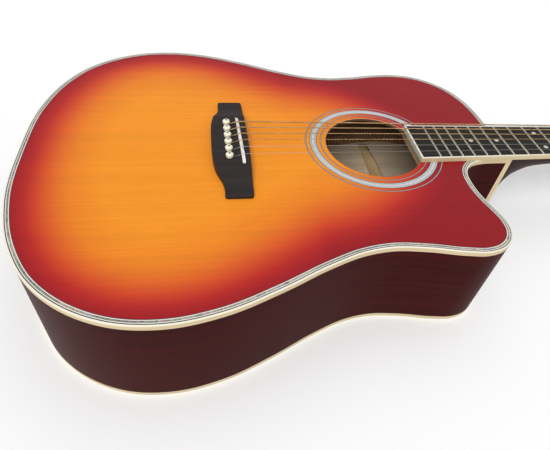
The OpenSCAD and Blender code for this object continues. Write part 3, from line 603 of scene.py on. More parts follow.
# ---- The rim of the body ----
def rim_of(node):
    """The outer loop of a node's flat top, anticlockwise, starting at its sharpest corner."""
    back = GUITAR.inverted()
    mesh = frame["nodes"][node].data
    points = [back @ v.co for v in mesh.vertices]
    count = {}
    for face in mesh.polygons:
        corners = [points[i] for i in face.vertices]
        if all(abs(p.z) < 0.05 for p in corners):
            keys = [(round(p.x, 2), round(p.y, 2)) for p in corners]
            for edge in zip(keys, keys[1:] + keys[:1]):
                count[frozenset(edge)] = count.get(frozenset(edge), 0) + 1
    links = {}
    for edge, uses in count.items():
        if uses == 1:
            a, b = sorted(edge)
            links.setdefault(a, []).append(b)
            links.setdefault(b, []).append(a)
    loop = [min(links)]
    while True:
        following = [p for p in links[loop[-1]] if p not in loop[-2:]]
        if not following or following[0] == loop[0]:
            break
        loop.append(following[0])
    loop = np.array(loop)
    ahead = np.roll(loop, -1, 0)
    if (loop[:, 0] * ahead[:, 1] - loop[:, 1] * ahead[:, 0]).sum() < 0:
        loop = loop[::-1]
    return np.roll(loop, -int(np.argmax(turning(loop))), 0)


def turning(loop):
    """The angle that a closed loop turns through at each point."""
    step = np.roll(loop, -1, 0) - loop
    step /= np.linalg.norm(step, axis=1)[:, None]
    return np.arccos(np.clip((step * np.roll(step, 1, 0)).sum(1), -1, 1))


def smoothed(loop, per=3):
    """The loop as a curve through its points, except at its first point, a sharp corner."""
    n = len(loop)

    def slope(i):
        before, after = loop[i % n] - loop[(i - 1) % n], loop[(i + 1) % n] - loop[i % n]
        a, b = np.linalg.norm(before), np.linalg.norm(after)
        return (before * b / a + after * a / b) / (a + b)

    made = [loop[0]]
    for i in range(1, n - 1):
        p, q = loop[i], loop[i + 1]
        d = np.linalg.norm(q - p)
        for u in np.arange(per) / per:
            made.append(p * (2 * u ** 3 - 3 * u * u + 1) + slope(i) * d * (u ** 3 - 2 * u * u + u)
                + q * (3 * u * u - 2 * u ** 3) + slope(i + 1) * d * (u ** 3 - u * u))
    return np.vstack(made + [loop[-1]])


RIM = smoothed(rim_of("top_binding"))
TAIL_X = RIM[:, 0].min()
RIM_S = np.concatenate([[0], np.cumsum(np.linalg.norm(np.roll(RIM, -1, 0) - RIM, axis=1))])
RIM_LEN = RIM_S[-1]
TAIL_STRIP_HALF = 7
HEEL_STRIP_W = 5.5


def rim_at(w, stations):
    """Points w in from the rim at distances along it."""
    loop = inset_loop(RIM, w)
    loop = np.vstack([loop, loop[:1]])
    s = np.asarray(stations) % RIM_LEN
    return np.c_[np.interp(s, RIM_S, loop[:, 0]), np.interp(s, RIM_S, loop[:, 1])]


def rim_span(start, end):
    """Stations along the rim from start to end, which may pass the joint corner."""
    s = np.concatenate([RIM_S, RIM_S[1:] + RIM_LEN])
    return np.concatenate([[start], s[(s > start + 0.05) & (s < end - 0.05)], [end]])


def tail_station(y):
    at_tail = RIM[:, 0] < TAIL_X + 15
    s, across = RIM_S[:-1][at_tail], RIM[at_tail, 1]
    return float(np.interp(-y, -across, s))


BASS_TAIL, TREBLE_TAIL = tail_station(TAIL_STRIP_HALF), tail_station(-TAIL_STRIP_HALF)


def rim_sweep(name, profile, materials, slot, span=None, tints=None, **more):
    """A strip round the rim, or over a span of it. The profile's points are (inset, height), with
    a third value True where the height is measured from the back."""
    stations = rim_span(*span) if span else RIM_S[:-1]
    columns = [rim_at(p[0], stations) for p in profile]
    rings, flow = [], []
    for i, s in enumerate(stations):
        rings.append([])
        for (w, z, *from_back), column in zip(profile, columns):
            x, y = column[i]
            height = back_z(x, z) if from_back else z
            rings[-1].append((x, y, height))
            flow.append((s * MM, w * MM, height * MM))
    solid = Solid()
    solid.loft(rings, closed=not span, tints=tints)
    solid.piece(name, materials, slot, attributes={"flow": flow}, **more)


# ---- Soundboard ----
BURST_REACH = 110
RED_END_X, RED_END_REACH = -640, 160
WAIST_X, WAIST_HALF = -590, 122
RED_WITHIN, RED_RATE = 36, 130
TAIL_GAIN, TAIL_FROM_X = 0.25, -610
# Painted shade: towards the bass side the sunburst's red reaches further in, darkening the top there.
BASS_PAINTED_SHADE, BASS_SHADE_FULL_Y = 0.17, 110
ROSETTE = [(61.2, 68.8), (56.3, 57.8), (72.2, 73.8)]
SHELL_OUT, SHELL_IN, PURFLING_IN = 3.0, 4.7, 5.9
EDGE_R = 0.9
LINES = [("purfling_outer_black", BINDING_W, 2.3, BLACK_LINE),
    ("purfling_outer_white", 2.3, SHELL_OUT, WHITE_LINE),
    ("purfling_inner_white", SHELL_IN, 5.4, WHITE_LINE),
    ("purfling_inner_black", 5.4, PURFLING_IN, BLACK_LINE)]


def burst(points):
    """Distance in from the rim, cut short by an ellipse round the hole: past it the top is red. It is also
    shortened towards the bass side, a painted shade that reddens the top there.
    """
    x, y = points[:, 0], points[:, 1]
    rim = distance_to(points, RIM) * (1 + TAIL_GAIN * np.clip((TAIL_FROM_X - x) / 80, 0, 1))
    # Painted shade: the rim distance shrinks towards the bass side, so the top reddens and darkens there.
    rim *= 1 - BASS_PAINTED_SHADE * np.clip(y / BASS_SHADE_FULL_Y, 0, 1)
    half = WAIST_HALF + np.maximum(0, WAIST_X - x)
    along = np.maximum(0, x - RED_END_X) / RED_END_REACH
    ahead = RED_WITHIN + RED_RATE * (1 - np.hypot(along, y / half))
    rim, ahead = np.maximum(rim, 0.1), np.maximum(ahead, 0.1)
    return np.clip((rim ** -5.0 + ahead ** -5.0) ** -0.2 / BURST_REACH, 0, 1)


def soundboard():
    edge = inset_loop(RIM, BINDING_W)
    painted = inset_loop(RIM, PURFLING_IN)
    rings = [circle(HOLE_X, 0, r, 160) for pair in ROSETTE for r in pair]
    lip = [circle(HOLE_X, 0, r, 128) for r in (HOLE_R, HOLE_R + 0.25)]
    pins = [circle(PIN_X, pin_y(i), PIN_HOLE_R, 20) for i in STRINGS]

    def layer(p):
        r = np.hypot(p[:, 0] - HOLE_X, p[:, 1])
        sunk = ~inside(p, painted)
        for low, high in ROSETTE:
            sunk |= (r > low) & (r < high)
        level = np.where(sunk, 1, np.where(r < HOLE_R + 0.25, 2, 0))
        level[r < HOLE_R] = -1
        for i in STRINGS:
            level[np.hypot(p[:, 0] - PIN_X, p[:, 1] - pin_y(i)) < PIN_HOLE_R] = -1
        level[~inside(p, edge)] = -1
        return level

    def top(p, k):
        if k == 1:
            return -INLAY_T
        r = np.hypot(p[:, 0] - HOLE_X, p[:, 1])
        return np.where(r < HOLE_R + 0.1, -0.3, 0.0)

    relief("sunburst_soundboard", [edge, painted, *rings, *lip, *pins], layer, top,
        lambda p: -TOP_T, [TOP, RAW_EDGE, SPRUCE, HOLE_WALL], "sunburst_top", grid=6,
        tints=[0, 1, 1], wall=3, under=2, replaces="soundboard", smooth=20,
        attributes=lambda p: {"burst": burst(p)})


def inlay_section(a, b):
    """The section of a strip let into the top, from a to b."""
    return [(a, 0), (b, 0), (b, -INLAY_T), (a, -INLAY_T)]


def edge_trim():
    for name, outer, inner, material in LINES:
        rim_sweep(name, inlay_section(outer, inner), material, "black_and_white_lines",
            replaces="purfling_lines")
    rim_sweep("purfling_shell", inlay_section(SHELL_OUT, SHELL_IN), SHELL, "abalone",
        replaces="purfling_abalone")
    corner = [(EDGE_R - EDGE_R * sin(a), EDGE_R - EDGE_R * cos(a))
        for a in np.radians([90, 68, 45, 22, 0])]
    rim_sweep("top_edge_binding", [(0, -TOP_BINDING_H), *((w, -z) for w, z in corner),
        (BINDING_W, 0), (BINDING_W, -TOP_BINDING_H)],
        CREAM_RIM, "cream_binding", replaces="top_binding")
    rim_sweep("back_edge_binding", [(0, BACK_BINDING_H, True), *((w, z, True) for w, z in corner),
        (BINDING_W, 0, True), (BINDING_W, BACK_BINDING_H, True)],
        CREAM_RIM, "cream_binding", replaces="back_binding")


def ring_inlay(name, bands, slot, replaces):
    """Flat rings round the sound hole: (inner radius, outer radius, material)."""
    solid, materials = Solid(), []
    count = 160
    for low, high, material in bands:
        if material not in materials:
            materials.append(material)
        rings = []
        for k in range(count):
            a = 2 * pi * k / count
            rings.append([(HOLE_X + r * cos(a), r * sin(a), z) for r, z in inlay_section(low, high)])
        solid.loft(rings, materials.index(material), closed=True)
    solid.piece(name, materials, slot, replaces=replaces)


def rosette():
    ring_inlay("rosette_wide", [
        (61.2, 61.75, BLACK_LINE), (61.75, 63.5, GREY_LINE), (63.5, 63.9, DARK_GREY),
        (63.9, 64.8, WHITE_LINE), (64.8, 65.2, DARK_GREY), (65.2, 66.1, WHITE_LINE),
        (66.1, 66.5, DARK_GREY), (66.5, 68.25, GREY_LINE), (68.25, 68.8, BLACK_LINE)],
        "rosette_white", "rosette_band")
    thin = []
    for low, high in ROSETTE[1:]:
        thin += [(low, low + 0.5, BLACK_LINE), (low + 0.5, high - 0.5, GREY_LINE),
            (high - 0.5, high, BLACK_LINE)]
    ring_inlay("rosette_thin", thin, "black_and_white_lines", "rosette_lines")


# ---- Sides, back and the inside ----
def sides():
    wall = [(0, -TOP_BINDING_H), (0, BACK_BINDING_H, True), (BINDING_W, BACK_BINDING_H, True),
        (BINDING_W, BACK_T, True), (SIDE_T, BACK_T, True), (SIDE_T, -TOP_T),
        (BINDING_W, -TOP_T), (BINDING_W, -TOP_BINDING_H)]
    tints = [0, 0, 0, 0, 1, 0, 0, 0]
    rim_sweep("bass_side", wall, [SIDES, INSIDE_SIDE], "dark_sides", tints=tints,
        span=(SIDE_T, BASS_TAIL), replaces="side_bass", smooth=25)
    rim_sweep("treble_side", wall, [SIDES, INSIDE_SIDE], "dark_sides", tints=tints,
        span=(TREBLE_TAIL, RIM_LEN - HEEL_STRIP_W), replaces="side_treble", smooth=25)
    line = 0.4
    heel = RIM_LEN - HEEL_STRIP_W
    for name, start, end, material in [
            ("heel_strip_a", heel, heel + HEEL_STRIP_W / 2 - line, HEEL_CREAM),
            ("heel_strip_line", heel + HEEL_STRIP_W / 2 - line, heel + HEEL_STRIP_W / 2 + line, TAN_LINE),
            ("heel_strip_b", heel + HEEL_STRIP_W / 2 + line, RIM_LEN + SIDE_T, HEEL_CREAM),
            ("tail_strip_a", BASS_TAIL, BASS_TAIL + 1, BLACK_LINE),
            ("tail_strip", BASS_TAIL + 1, TREBLE_TAIL - 1, HEEL_CREAM),
            ("tail_strip_b", TREBLE_TAIL - 1, TREBLE_TAIL, BLACK_LINE)]:
        rim_sweep(name, wall, material, "cream_binding", span=(start, end), replaces="end_strips")


def back():
    plate("back_plate", inset_loop(RIM, BINDING_W), (), lambda p: back_z(p[:, 0], BACK_T),
        lambda p: back_z(p[:, 0], 0), [INSIDE, BACK_OUT], "dark_sides", wall=1, under=1,
        replaces="back")


def kerfed_lining(name, replaces, heights):
    """A web along the side with a block every few millimetres, as thin saw cuts leave it."""
    pitch, cut, web = 4.6, 1.5, 1.0
    free = [(70, tail_station(42)), (tail_station(-42), RIM_LEN - 68)]
    solid = Solid()

    def ring(s, shape):
        made = []
        for w, h in shape:
            x, y = rim_at(w, [s])[0]
            made.append((x, y, heights(x, h)))
        return made

    block = [(SIDE_T + web, 0), (SIDE_T + 6, 0), (SIDE_T + 6, 4.5), (SIDE_T + web + 1, 14),
        (SIDE_T + web, 14)]
    strip = [(SIDE_T, 0), (SIDE_T + web, 0), (SIDE_T + web, 14), (SIDE_T, 14)]
    for start, end in free:
        solid.loft([ring(s, strip) for s in np.arange(start, end, pitch / 2)])
        for s in np.arange(start, end - pitch, pitch):
            solid.loft([ring(s, block), ring(s + pitch - cut, block)])
    solid.piece(name, LINING, "lining_wood", replaces=replaces)


def back_braces():
    ladder = [(-462, 138), (-550, 124), (-650, 160), (-760, 178)]
    section = [(-7, 0), (-7, 4), (-5, 8), (-2.5, 12), (0, 13), (2.5, 12), (5, 8), (7, 4), (7, 0)]
    ends = [(-1, 0.2), (-0.88, 0.45), (-0.72, 0.85), (-0.6, 1), (0.6, 1), (0.72, 0.85), (0.88, 0.45),
        (1, 0.2)]
    solid = Solid()
    for x, half in ladder:
        solid.loft([[(x + u, half * t, back_z(x + u, BACK_T + h * tall)) for u, h in section]
            for t, tall in ends])
    solid.piece("carved_back_braces", SPRUCE, "brace_spruce", replaces="back_braces", smooth=50)


# ---- Bridge ----
BRIDGE_HALF = [
    (20.8, 0), (20.6, 22), (20, 44), (19.6, 64), (19.3, 75), (18.2, 77.6), (15.8, 78), (-3.2, 78),
    (-5.8, 77.4), (-6.8, 75), (-6.8, 66), (-8.2, 57), (-10.8, 49.5), (-13.2, 42.5), (-15, 34),
    (-16.2, 22), (-16.6, 0)]
WING_H = 4.2
WING_Y = 66
WING_FROM = 44
SCOOP_R = ((WING_Y - WING_FROM) ** 2 + (BRIDGE_H - WING_H) ** 2) / (2 * (BRIDGE_H - WING_H))


def bridge():
    half = spline(BRIDGE_HALF, 4)
    loop = np.vstack([half, (half * [1, -1])[-2:0:-1]]) + [PIN_X, 0]
    holes = [circle(PIN_X, pin_y(i), PIN_HOLE_R, 24) for i in STRINGS]
    slot_end, slot_half = PIN_X + 7, 0.85
    slots = [np.array([(PIN_X, y - slot_half), (slot_end, y - slot_half), (slot_end, y + slot_half),
        (PIN_X, y + slot_half)]) for y in (pin_y(i) for i in STRINGS)]
    steps = [inset_loop(loop, w) for w in (0.2, 0.5, 0.95, 1.5, 2.2)]

    def layer(p):
        level = np.where(inside(p, loop), 0, -1)
        for i in STRINGS:
            y = pin_y(i)
            in_slot = (p[:, 0] > PIN_X) & (p[:, 0] < slot_end) & (abs(p[:, 1] - y) < slot_half)
            level[in_slot] = 1
            level[np.hypot(p[:, 0] - PIN_X, p[:, 1] - y) < PIN_HOLE_R] = -1
        return level

    def top(p, k):
        y = np.clip(np.abs(p[:, 1]), WING_FROM, WING_Y)
        height = WING_H + SCOOP_R - np.sqrt(SCOOP_R ** 2 - (WING_Y - y) ** 2)
        return height - rounded_edge(distance_to(p, loop), 1.5) - (1.3 if k == 1 else 0)

    relief("carved_bridge", [loop, *steps, *holes, *slots], layer, top, lambda p: 0.0,
        BRIDGE, "bridge_wood", grid=2.5, replaces="bridge", tints=[0, 0], smooth=40)


def saddle():
    """A 3 mm saddle whose crest leans to the tail under the B string, to bring it in tune."""
    crest_x = [(-38, 0.7), (-24, 0.8), (-20, 0.6), (-17.5, -0.9), (-13, -0.9), (-10.5, 0.5), (-5, 0.7),
        (0, 0.3), (10, -0.1), (22, -0.7), (38, -0.8)]
    half, seat = 1.5, 4
    rings = []
    for y in np.concatenate([[-38, -37.6, -36.8], np.arange(-35.5, 36, 0.75), [36.8, 37.6, 38]]):
        crest = np.interp(y, *zip(*crest_x))
        high = SADDLE_H - SADDLE_CAMBER_R + sqrt(SADDLE_CAMBER_R ** 2 - y * y)
        high -= 1.4 * max(0, (abs(y) - 35.5) / 2.5) ** 2
        pull = 1 - 0.35 * max(0, (abs(y) - 36.8) / 1.2)
        ring = [(-half * pull, seat), (half * pull, seat), (half * pull, high - 1.3),
            (min(half * pull, crest + 0.7), high - 0.35), (crest + 0.25, high),
            (crest - 0.25, high), (max(-half * pull, crest - 0.7), high - 0.35),
            (-half * pull, high - 1.3)]
        rings.append([(x, y, z) for x, z in ring])
    solid = Solid()
    solid.loft(rings)
    solid.piece("shaped_saddle", BONE, "white_bone", replaces="saddle", smooth=50,
        at=Matrix.Translation((SADDLE_X, 0, 0)) @ Matrix.Rotation(SADDLE_LEAN, 4, "Z"))


def bridge_pins():
    """A pin has a grooved shank, a collar and a domed head with a dark dot let into it."""
    lift, length, dot_r = 0.6, 21, 1.05
    head = [(1.5, -length - 0.8), (2.3, -length), (2.65, -lift - BRIDGE_H), (2.65, -0.3),
        (2.8, 0), (3.3, 0.1), (3.35, 0.9), (3.3, 1.05), (3.6, 1.5), (3.77, 2.1), (3.8, 2.6),
        (3.65, 3.13), (3.2, 3.62), (2.5, 4.03), (1.75, 4.29), (dot_r, 4.38)]
    crown = [(dot_r, 4.28), (dot_r, 4.39), (1.0, 4.43), (0.5, 4.48), (0.01, 4.5)]

    def groove(p):
        if p.z < -0.2 and p.x > 1.1 and abs(p.y) < 0.95:
            p.x = 1.1
        return p

    for i in STRINGS:
        solid = Solid()
        solid.lathe(head, sides=48, shape=groove)
        solid.lathe(crown, sides=24, tint=1)
        place = Matrix.Translation((PIN_X, pin_y(i), BRIDGE_H + lift))
        solid.piece(f"pin_{i}", [IVORY, BLACK], "ivory_pins", replaces=f"bridge_pin_{i}",
            body=f"bridge_pin_{i}", at=place, smooth=50)


# ---- Neck and head ----
# Ribs of the neck's back: [base x, base z, tip x, tip z, half width], and a half width of 0
# follows the fretboard
HEEL_CAP_T = 2.6
HEEL_Z = HEEL_CAP_T - 102
RIBS = [[NUT_T, 0, NUT_T, -13.4, 0], [-20, 0, -20, -14, 0], [-80, 0, -80, -15, 0],
    [-180, 0, -180, -15.5, 0], [-255, 0, -255, -16, 0], [-296, 0, -291, -16.4, 0],
    [-322, 0, -309.5, -17.6, 0], [-343, 0, -323.5, -21, 0], [-355, 0, -332.5, -27, 0],
    [JOINT_X, 0, -341.5, -36, 27.5], [JOINT_X, -16, -348.5, -47, 26],
    [JOINT_X, -34, -351, -60.5, 23.5], [JOINT_X, -56, -350.5, -75.5, 21],
    [JOINT_X, -80, -349, -89.5, 18.5], [JOINT_X, HEEL_Z, -348.5, HEEL_Z, 16]]
RIB_FULLNESS = 0.88
HEAD_SIDE = [(0, 21.5), (6, 21.5), (14, 22.5), (24, 27), (34, 32), (44, 34.4), (60, 35), (100, 36.4),
    (148, 38.1), (158, 38.2), (164, 36), (168.5, 26), (171, 13), (HEAD_LEN, 0.3)]


def round_rib():
    """Half a rounded section, as (across, down) from one edge to the other."""
    a = np.radians(np.linspace(0, 180, 49))
    s, c = np.sin(a) ** RIB_FULLNESS, np.sign(np.cos(a)) * np.abs(np.cos(a)) ** RIB_FULLNESS
    return np.c_[c, s]


def square_rib(half, depth, radius=2.5):
    """The same for a flat-backed section with rounded corners, with as many points."""
    side = np.linspace(0, 1 - radius / depth, 12)[:, None] * [0, 1] + [1, 0]
    a = np.radians(np.linspace(0, 90, 9))[1:]
    bend = np.c_[1 - radius / half * (1 - np.cos(a)), 1 - radius / depth * (1 - np.sin(a))]
    quarter = np.vstack([side, bend])
    across = np.linspace(1, -1, 11)[1:-1, None] * [1 - radius / half, 0] + [0, 1]
    return np.vstack([quarter, across, (quarter * [-1, 1])[::-1]])


def head_half(s):
    curve = spline(HEAD_SIDE, 6)
    return float(np.interp(s, curve[:, 0], curve[:, 1]))


def neck_sections():
    """(base point, tip point, half width, share of the square section) from the heel to the head."""
    filled = [[*r[:4], r[4] or board_half(r[0])] for r in RIBS][::-1]
    count = 6
    tips = spline([r[2:] for r in filled], count)
    bases = np.array([np.interp(np.arange(len(tips)) / count, range(len(filled)),
        [r[k] for r in filled]) for k in (0, 1)]).T
    made = [(Vector((b[0], 0, b[1])), Vector((t[0], 0, t[1])), t[2], 0.0) for b, t in zip(bases, tips)]
    blend_from, blend_to, volute = 1.0, 30.0, 2.2
    for s in [2, 4, 6, 8, 11, 14, 17, 20, 24, 28, 32, 38, 44, 52, 60, 80, 100, 120, 140, 150, 156, 160,
            163, 165.5, 167.5, 169, 170.2, 171.1, 171.7, HEAD_LEN]:
        share = min(1, max(0, (s - blend_from) / (blend_to - blend_from)))
        share = share * share * (3 - 2 * share)
        bump = volute * exp(-((s - 9) / 8) ** 2)
        base = HEAD @ Vector((s, 0, -VENEER_T))
        tip = HEAD @ Vector((s, 0, -HEAD_T - bump * (1 - share)))
        made.append((base, tip, head_half(s), share))
    return made


def neck():
    round_one = round_rib()
    rings = []
    for base, tip, half, share in neck_sections():
        down = tip - base
        square = square_rib(max(half, 0.3), down.length, min(2.5, 0.8 * max(half, 0.3)))
        shape = round_one * (1 - share) + square * share
        rings.append([base + down * v + Vector((0, half * u, 0)) for u, v in shape])
    solid = Solid()
    solid.loft(rings)
    solid.piece("carved_neck", NECK, "neck_wood", replaces=("neck", "headstock"), smooth=45)


def heel_cap():
    base_x, _, tip_x, _, half = RIBS[-1]
    shape = round_rib() * [half, tip_x - base_x] + [0, base_x]
    loop = shape[::-1, ::-1]
    plate("heel_cap_plate", loop, (0.5,), lambda p: HEEL_Z,
        lambda p: back_z(p[:, 0], 0) + rounded_edge(distance_to(p, loop), 0.5), CREAM,
        "cream_binding", replaces="heel_cap")


def head_trim():
    side = np.array([(s, head_half(s)) for s in
        [*np.arange(0, 60, 3), *np.arange(60, 156, 8), *np.arange(156, HEAD_LEN, 0.75)]])
    loop = np.vstack([side * [1, -1], [[HEAD_LEN, 0]], side[::-1]])
    lips = (0.15, 0.4, 0.8)
    plate("head_veneer", loop, lips, lambda p: -rounded_edge(distance_to(p, loop), 0.7),
        lambda p: -VENEER_T, VENEER, "dark_veneer", replaces="headplate", at=HEAD)
    half = spline([(1, 10), (8, 9.9), (18, 8.6), (28, 6.4), (36, 4.6), (40.3, 2.6), (41.5, 0)], 5)
    bell = np.vstack([half * [1, -1], half[-2::-1]])
    plate("bell_cover", bell, lips, lambda p: 1.8 - rounded_edge(distance_to(p, bell), 0.7),
        lambda p: 0.0, BLACK, "black_plastic", replaces="truss_rod_cover", at=HEAD)


def frets():
    half_w, height, tang, tang_depth = 1.1, 0.9, 0.3, 2
    arc = [(half_w * cos(a), height * sin(a)) for a in np.radians(np.linspace(0, 180, 11))]
    solid = Solid()
    for n in range(1, 21):
        reach = board_half(fret_x(n)) - BOARD_BINDING
        rings = []
        for y, size in [(-1, 0.25), (-0.993, 0.6), (-0.98, 0.88), (-0.96, 1), (0.96, 1), (0.98, 0.88),
                (0.993, 0.6), (1, 0.25)]:
            bead = [(x * size, z * size) for x, z in arc]
            profile = [(tang, 0), *bead, (-tang, 0), (-tang, -tang_depth), (tang, -tang_depth)]
            rings.append([(fret_x(n) + x, y * reach, BOARD_T + z) for x, z in profile])
        solid.loft(rings)
    solid.piece("crowned_frets", FRET, "fret_wire", replaces="frets", smooth=40)


# ---- Strings and tuners ----
FIRST_TUNER, TUNER_PITCH = 48, 40
WAIST_R, WRAP_H = 2.6, 4.4
WORM_OFFSET, WORM_H = 7.5, -HEAD_T - 6.5


def tuner_side(i):
    return 1 if i > 3 else -1


def tuner_s(i):
    return FIRST_TUNER + TUNER_PITCH * (6 - i if i > 3 else i - 1)


def at_tuner(i):
    return HEAD @ Matrix.Translation((tuner_s(i), tuner_side(i) * POST_Y, 0))


def outwards(i):
    """At a tuner, mirrored on the treble side so that +y points outwards."""
    return at_tuner(i) @ Matrix.Scale(tuner_side(i), 4, (0, 1, 0))


ON_WORM = Matrix.Translation((WORM_OFFSET, 0, WORM_H)) @ Matrix.Rotation(-pi / 2, 4, "X")


def string_path(i):
    """From the ball under the bridge plate over saddle and nut, and most of a turn round the post."""
    radius, side = STRING_D[i] / 2, tuner_side(i)
    y_pin, y_saddle, y_nut = pin_y(i), spread_y(SADDLE_SPREAD, i), spread_y(NUT_SPREAD, i)
    down_x = PIN_X + PIN_HOLE_R
    crest = SADDLE_H - SADDLE_CAMBER_R + sqrt(SADDLE_CAMBER_R ** 2 - y_saddle ** 2)
    saddle_x = SADDLE_X - y_saddle * sin(SADDLE_LEAN)
    bend = [(down_x, y_pin, BALL_Z), (down_x, y_pin, BRIDGE_H - 1.6), (down_x + 0.5, y_pin, BRIDGE_H - 0.5),
        (down_x + 1.6, y_pin, BRIDGE_H + 0.4), (saddle_x - 0.6, y_saddle, crest + radius - 0.25),
        (saddle_x, y_saddle, crest + radius)]
    rest = NUT_H - 0.2 + radius
    nut = Vector((NUT_T, y_nut, rest))
    start = HEAD.inverted() @ nut
    across = Vector((tuner_s(i) - start.x, side * POST_Y - start.y))
    wrap_r = WAIST_R + 0.2 + radius
    first = atan2(across.y, across.x) - side * (pi / 2 + asin(wrap_r / across.length))
    turn = radians(260)
    wrap = [HEAD @ Vector((tuner_s(i) + wrap_r * cos(first + side * turn * k / 26),
        side * POST_Y + wrap_r * sin(first + side * turn * k / 26), WRAP_H)) for k in range(27)]
    return [Vector(p) for p in bend] + [Vector((0, y_nut, rest + 0.05)), nut, *wrap]


def tube(solid, path, radius, sides=12):
    """A round bar along a path, with its rings carried along so that it doesn't twist."""
    across = Vector((0, 1, 0))
    rings = []
    for k, p in enumerate(path):
        before = (p - path[max(k - 1, 0)]).normalized()
        after = (path[min(k + 1, len(path) - 1)] - p).normalized()
        ahead = (before + after).normalized()
        across = (across - across.dot(ahead) * ahead).normalized()
        up = ahead.cross(across)
        rings.append([p + radius * (cos(a) * across + sin(a) * up)
            for a in np.arange(sides) * 2 * pi / sides])
    solid.loft(rings)


def strings():
    for name, which, material, slot, node in [
            ("bronze_strings", (3, 4, 5, 6), BRONZE, "bronze_wound", "wound_strings"),
            ("steel_strings", (1, 2), STEEL, "plain_steel", "plain_strings")]:
        solid = Solid()
        for i in which:
            tube(solid, string_path(i), STRING_D[i] / 2)
            ball = Matrix.Translation((PIN_X + PIN_HOLE_R + 1.9, pin_y(i), BALL_Z))
            solid.lathe([(0.6, -2), (1.7, -2), (2.1, -1.5), (2.1, 1.5), (1.7, 2), (0.6, 2)],
                ball @ Matrix.Rotation(pi / 2, 4, "X"), 24)
        solid.piece(name, material, slot, replaces=node, smooth=60)
    for i in STRINGS:
        solid, d = Solid(), STRING_D[i]
        major, minor = WAIST_R + d / 2 - 0.05, d / 2 + 0.05
        for k in (1, 2):
            height = WRAP_H + k * (d + 0.1)
            rings = [[((major + minor * cos(b)) * cos(a), (major + minor * cos(b)) * sin(a),
                height + minor * sin(b)) for b in np.arange(12) * pi / 6]
                for a in np.arange(36) * pi / 18]
            solid.loft(rings, closed=True)
        solid.piece(f"string_turns_{i}", BRONZE if i > 2 else STEEL,
            "bronze_wound" if i > 2 else "plain_steel", body=f"tuner_post_{i}",
            at=at_tuner(i), smooth=60)


def tuner_housings():
    """Cast housings with a round cover plate, a collar for the shaft and a screw ear."""
    solid = Solid()
    for i in STRINGS:
        place = outwards(i)
        solid.box((-8.8, -8.8, -HEAD_T - 11.4), (13.7, 8.8, -HEAD_T), 2.6, place)
        solid.box((-8.2, -8.2, -HEAD_T - 1.2), (13.1, 8.2, -HEAD_T), 0.5, place)
        solid.lathe([(0.2, -0.6), (6.2, -0.6), (6.8, -0.3), (7.0, 0.3), (0.2, 0.3)],
            place @ Matrix.Translation((1.5, 0, -HEAD_T - 11.4)), 40)
        solid.lathe([(3.4, 0), (3.4, 10.9), (3.2, 11.5), (2.8, 11.8), (2.1, 11.8), (2.1, 0)],
            place @ ON_WORM, 32)
        solid.box((-16.8, -3.9, -HEAD_T - 2), (-6, 3.9, -HEAD_T), 0.7, place)
    solid.piece("cast_housings", CHROME, "chrome", replaces="tuner_housings", smooth=40)


def tuner_buttons():
    """Worm, shaft and a waisted button."""
    turns, pitch, offset = 3, 2 * pi * 5 / 15, 0.4
    length = turns * pitch
    grip = [(0.0, 0.30, 0.60), (0.4, 0.42, 0.80), (1.4, 0.60, 0.93), (3.0, 0.82, 1.0), (5.0, 0.96, 1.0),
        (6.6, 1.0, 1.0), (8.4, 0.98, 0.98), (10.0, 0.90, 0.92), (11.2, 0.72, 0.78), (11.8, 0.50, 0.58),
        (12.0, 0.25, 0.30)]
    for i in STRINGS:
        solid = Solid()
        place = at_tuner(i) @ ON_WORM
        rings = []
        for k in range(turns * 16 + 1):
            z = length * (k / (turns * 16) - 0.5)
            a = pi * turns - 2 * pi * k / 16
            rings.append([place @ Vector((offset * cos(a) + 2.3 * cos(b),
                offset * sin(a) + 2.3 * sin(b), z)) for b in np.arange(16) * pi / 8])
        solid.loft(rings)
        outward = outwards(i) @ ON_WORM
        solid.lathe([(0.9, -7.9), (1.2, -7.6), (1.2, 0.9)], outward, 24)
        solid.lathe([(2, length / 2 - 0.1), (2, 17)], outward, 32)
        solid.lathe([(2.1, 16), (3.0, 16), (3.2, 16.2), (3.2, 17.3), (2.8, 17.7)], outward, 32)
        rings = []
        for y, wide, thick in spline(grip, 3):
            rings.append([outward @ Vector((3.6 * thick * copysign(abs(cos(a)) ** 0.75, cos(a)),
                9.5 * wide * copysign(abs(sin(a)) ** 0.85, sin(a)), 17.4 + y))
                for a in np.arange(40) * pi / 20])
        solid.loft(rings)
        solid.piece(f"button_{i}", CHROME, "chrome", replaces=f"tuner_button_{i}",
            body=f"tuner_button_{i}", smooth=50)


# ---- CAD pieces that keep their shape ----
def finish_node(name, material, bevel):
    """A CAD node takes its material and, if asked, softened edges, bevel in millimetres."""
    node = frame["nodes"][name]
    if not node.material_slots:
        node.data.materials.append(material)
    for place in node.material_slots:
        place.material = material
    if bevel:
        node.data.polygons.foreach_set("use_smooth", [True] * len(node.data.polygons))
        node.modifiers.new("weld", "WELD").merge_threshold = 2e-6
        edge = node.modifiers.new("bevel", "BEVEL")
        edge.width, edge.segments, edge.limit_method = bevel * MM, 3, "ANGLE"
        edge.angle_limit = radians(38)
        node.modifiers.new("normals", "WEIGHTED_NORMAL").weight = 100


def finish_nodes():
    for name, material, bevel in [
            ("neck_block", BLOCK, 0), ("tail_block", BLOCK, 0), ("x_brace", SPRUCE, 0.8),
            ("transverse_brace", SPRUCE, 1.0), ("tone_bars", SPRUCE, 0.8),
            ("finger_braces", SPRUCE, 0.8), ("bridge_plate", PLATE, 0),
            ("back_center_strip", SPRUCE, 0.4), ("end_pin", BLACK, 0.3), ("truss_rod", ROD_STEEL, 0),
            ("truss_rod_nut", BRASS, 0.2), ("fretboard", BOARD, 0), ("fretboard_binding", CREAM, 0.25),
            ("fret_markers", PEARL, 0), ("nut", BONE, 0.5), ("tuner_bushings", CHROME, 0.25),
            ("head_screws", CHROME, 0.12)]:
        finish_node(name, material, bevel)
    for i in STRINGS:
        finish_node(f"tuner_post_{i}", CHROME, 0.08)


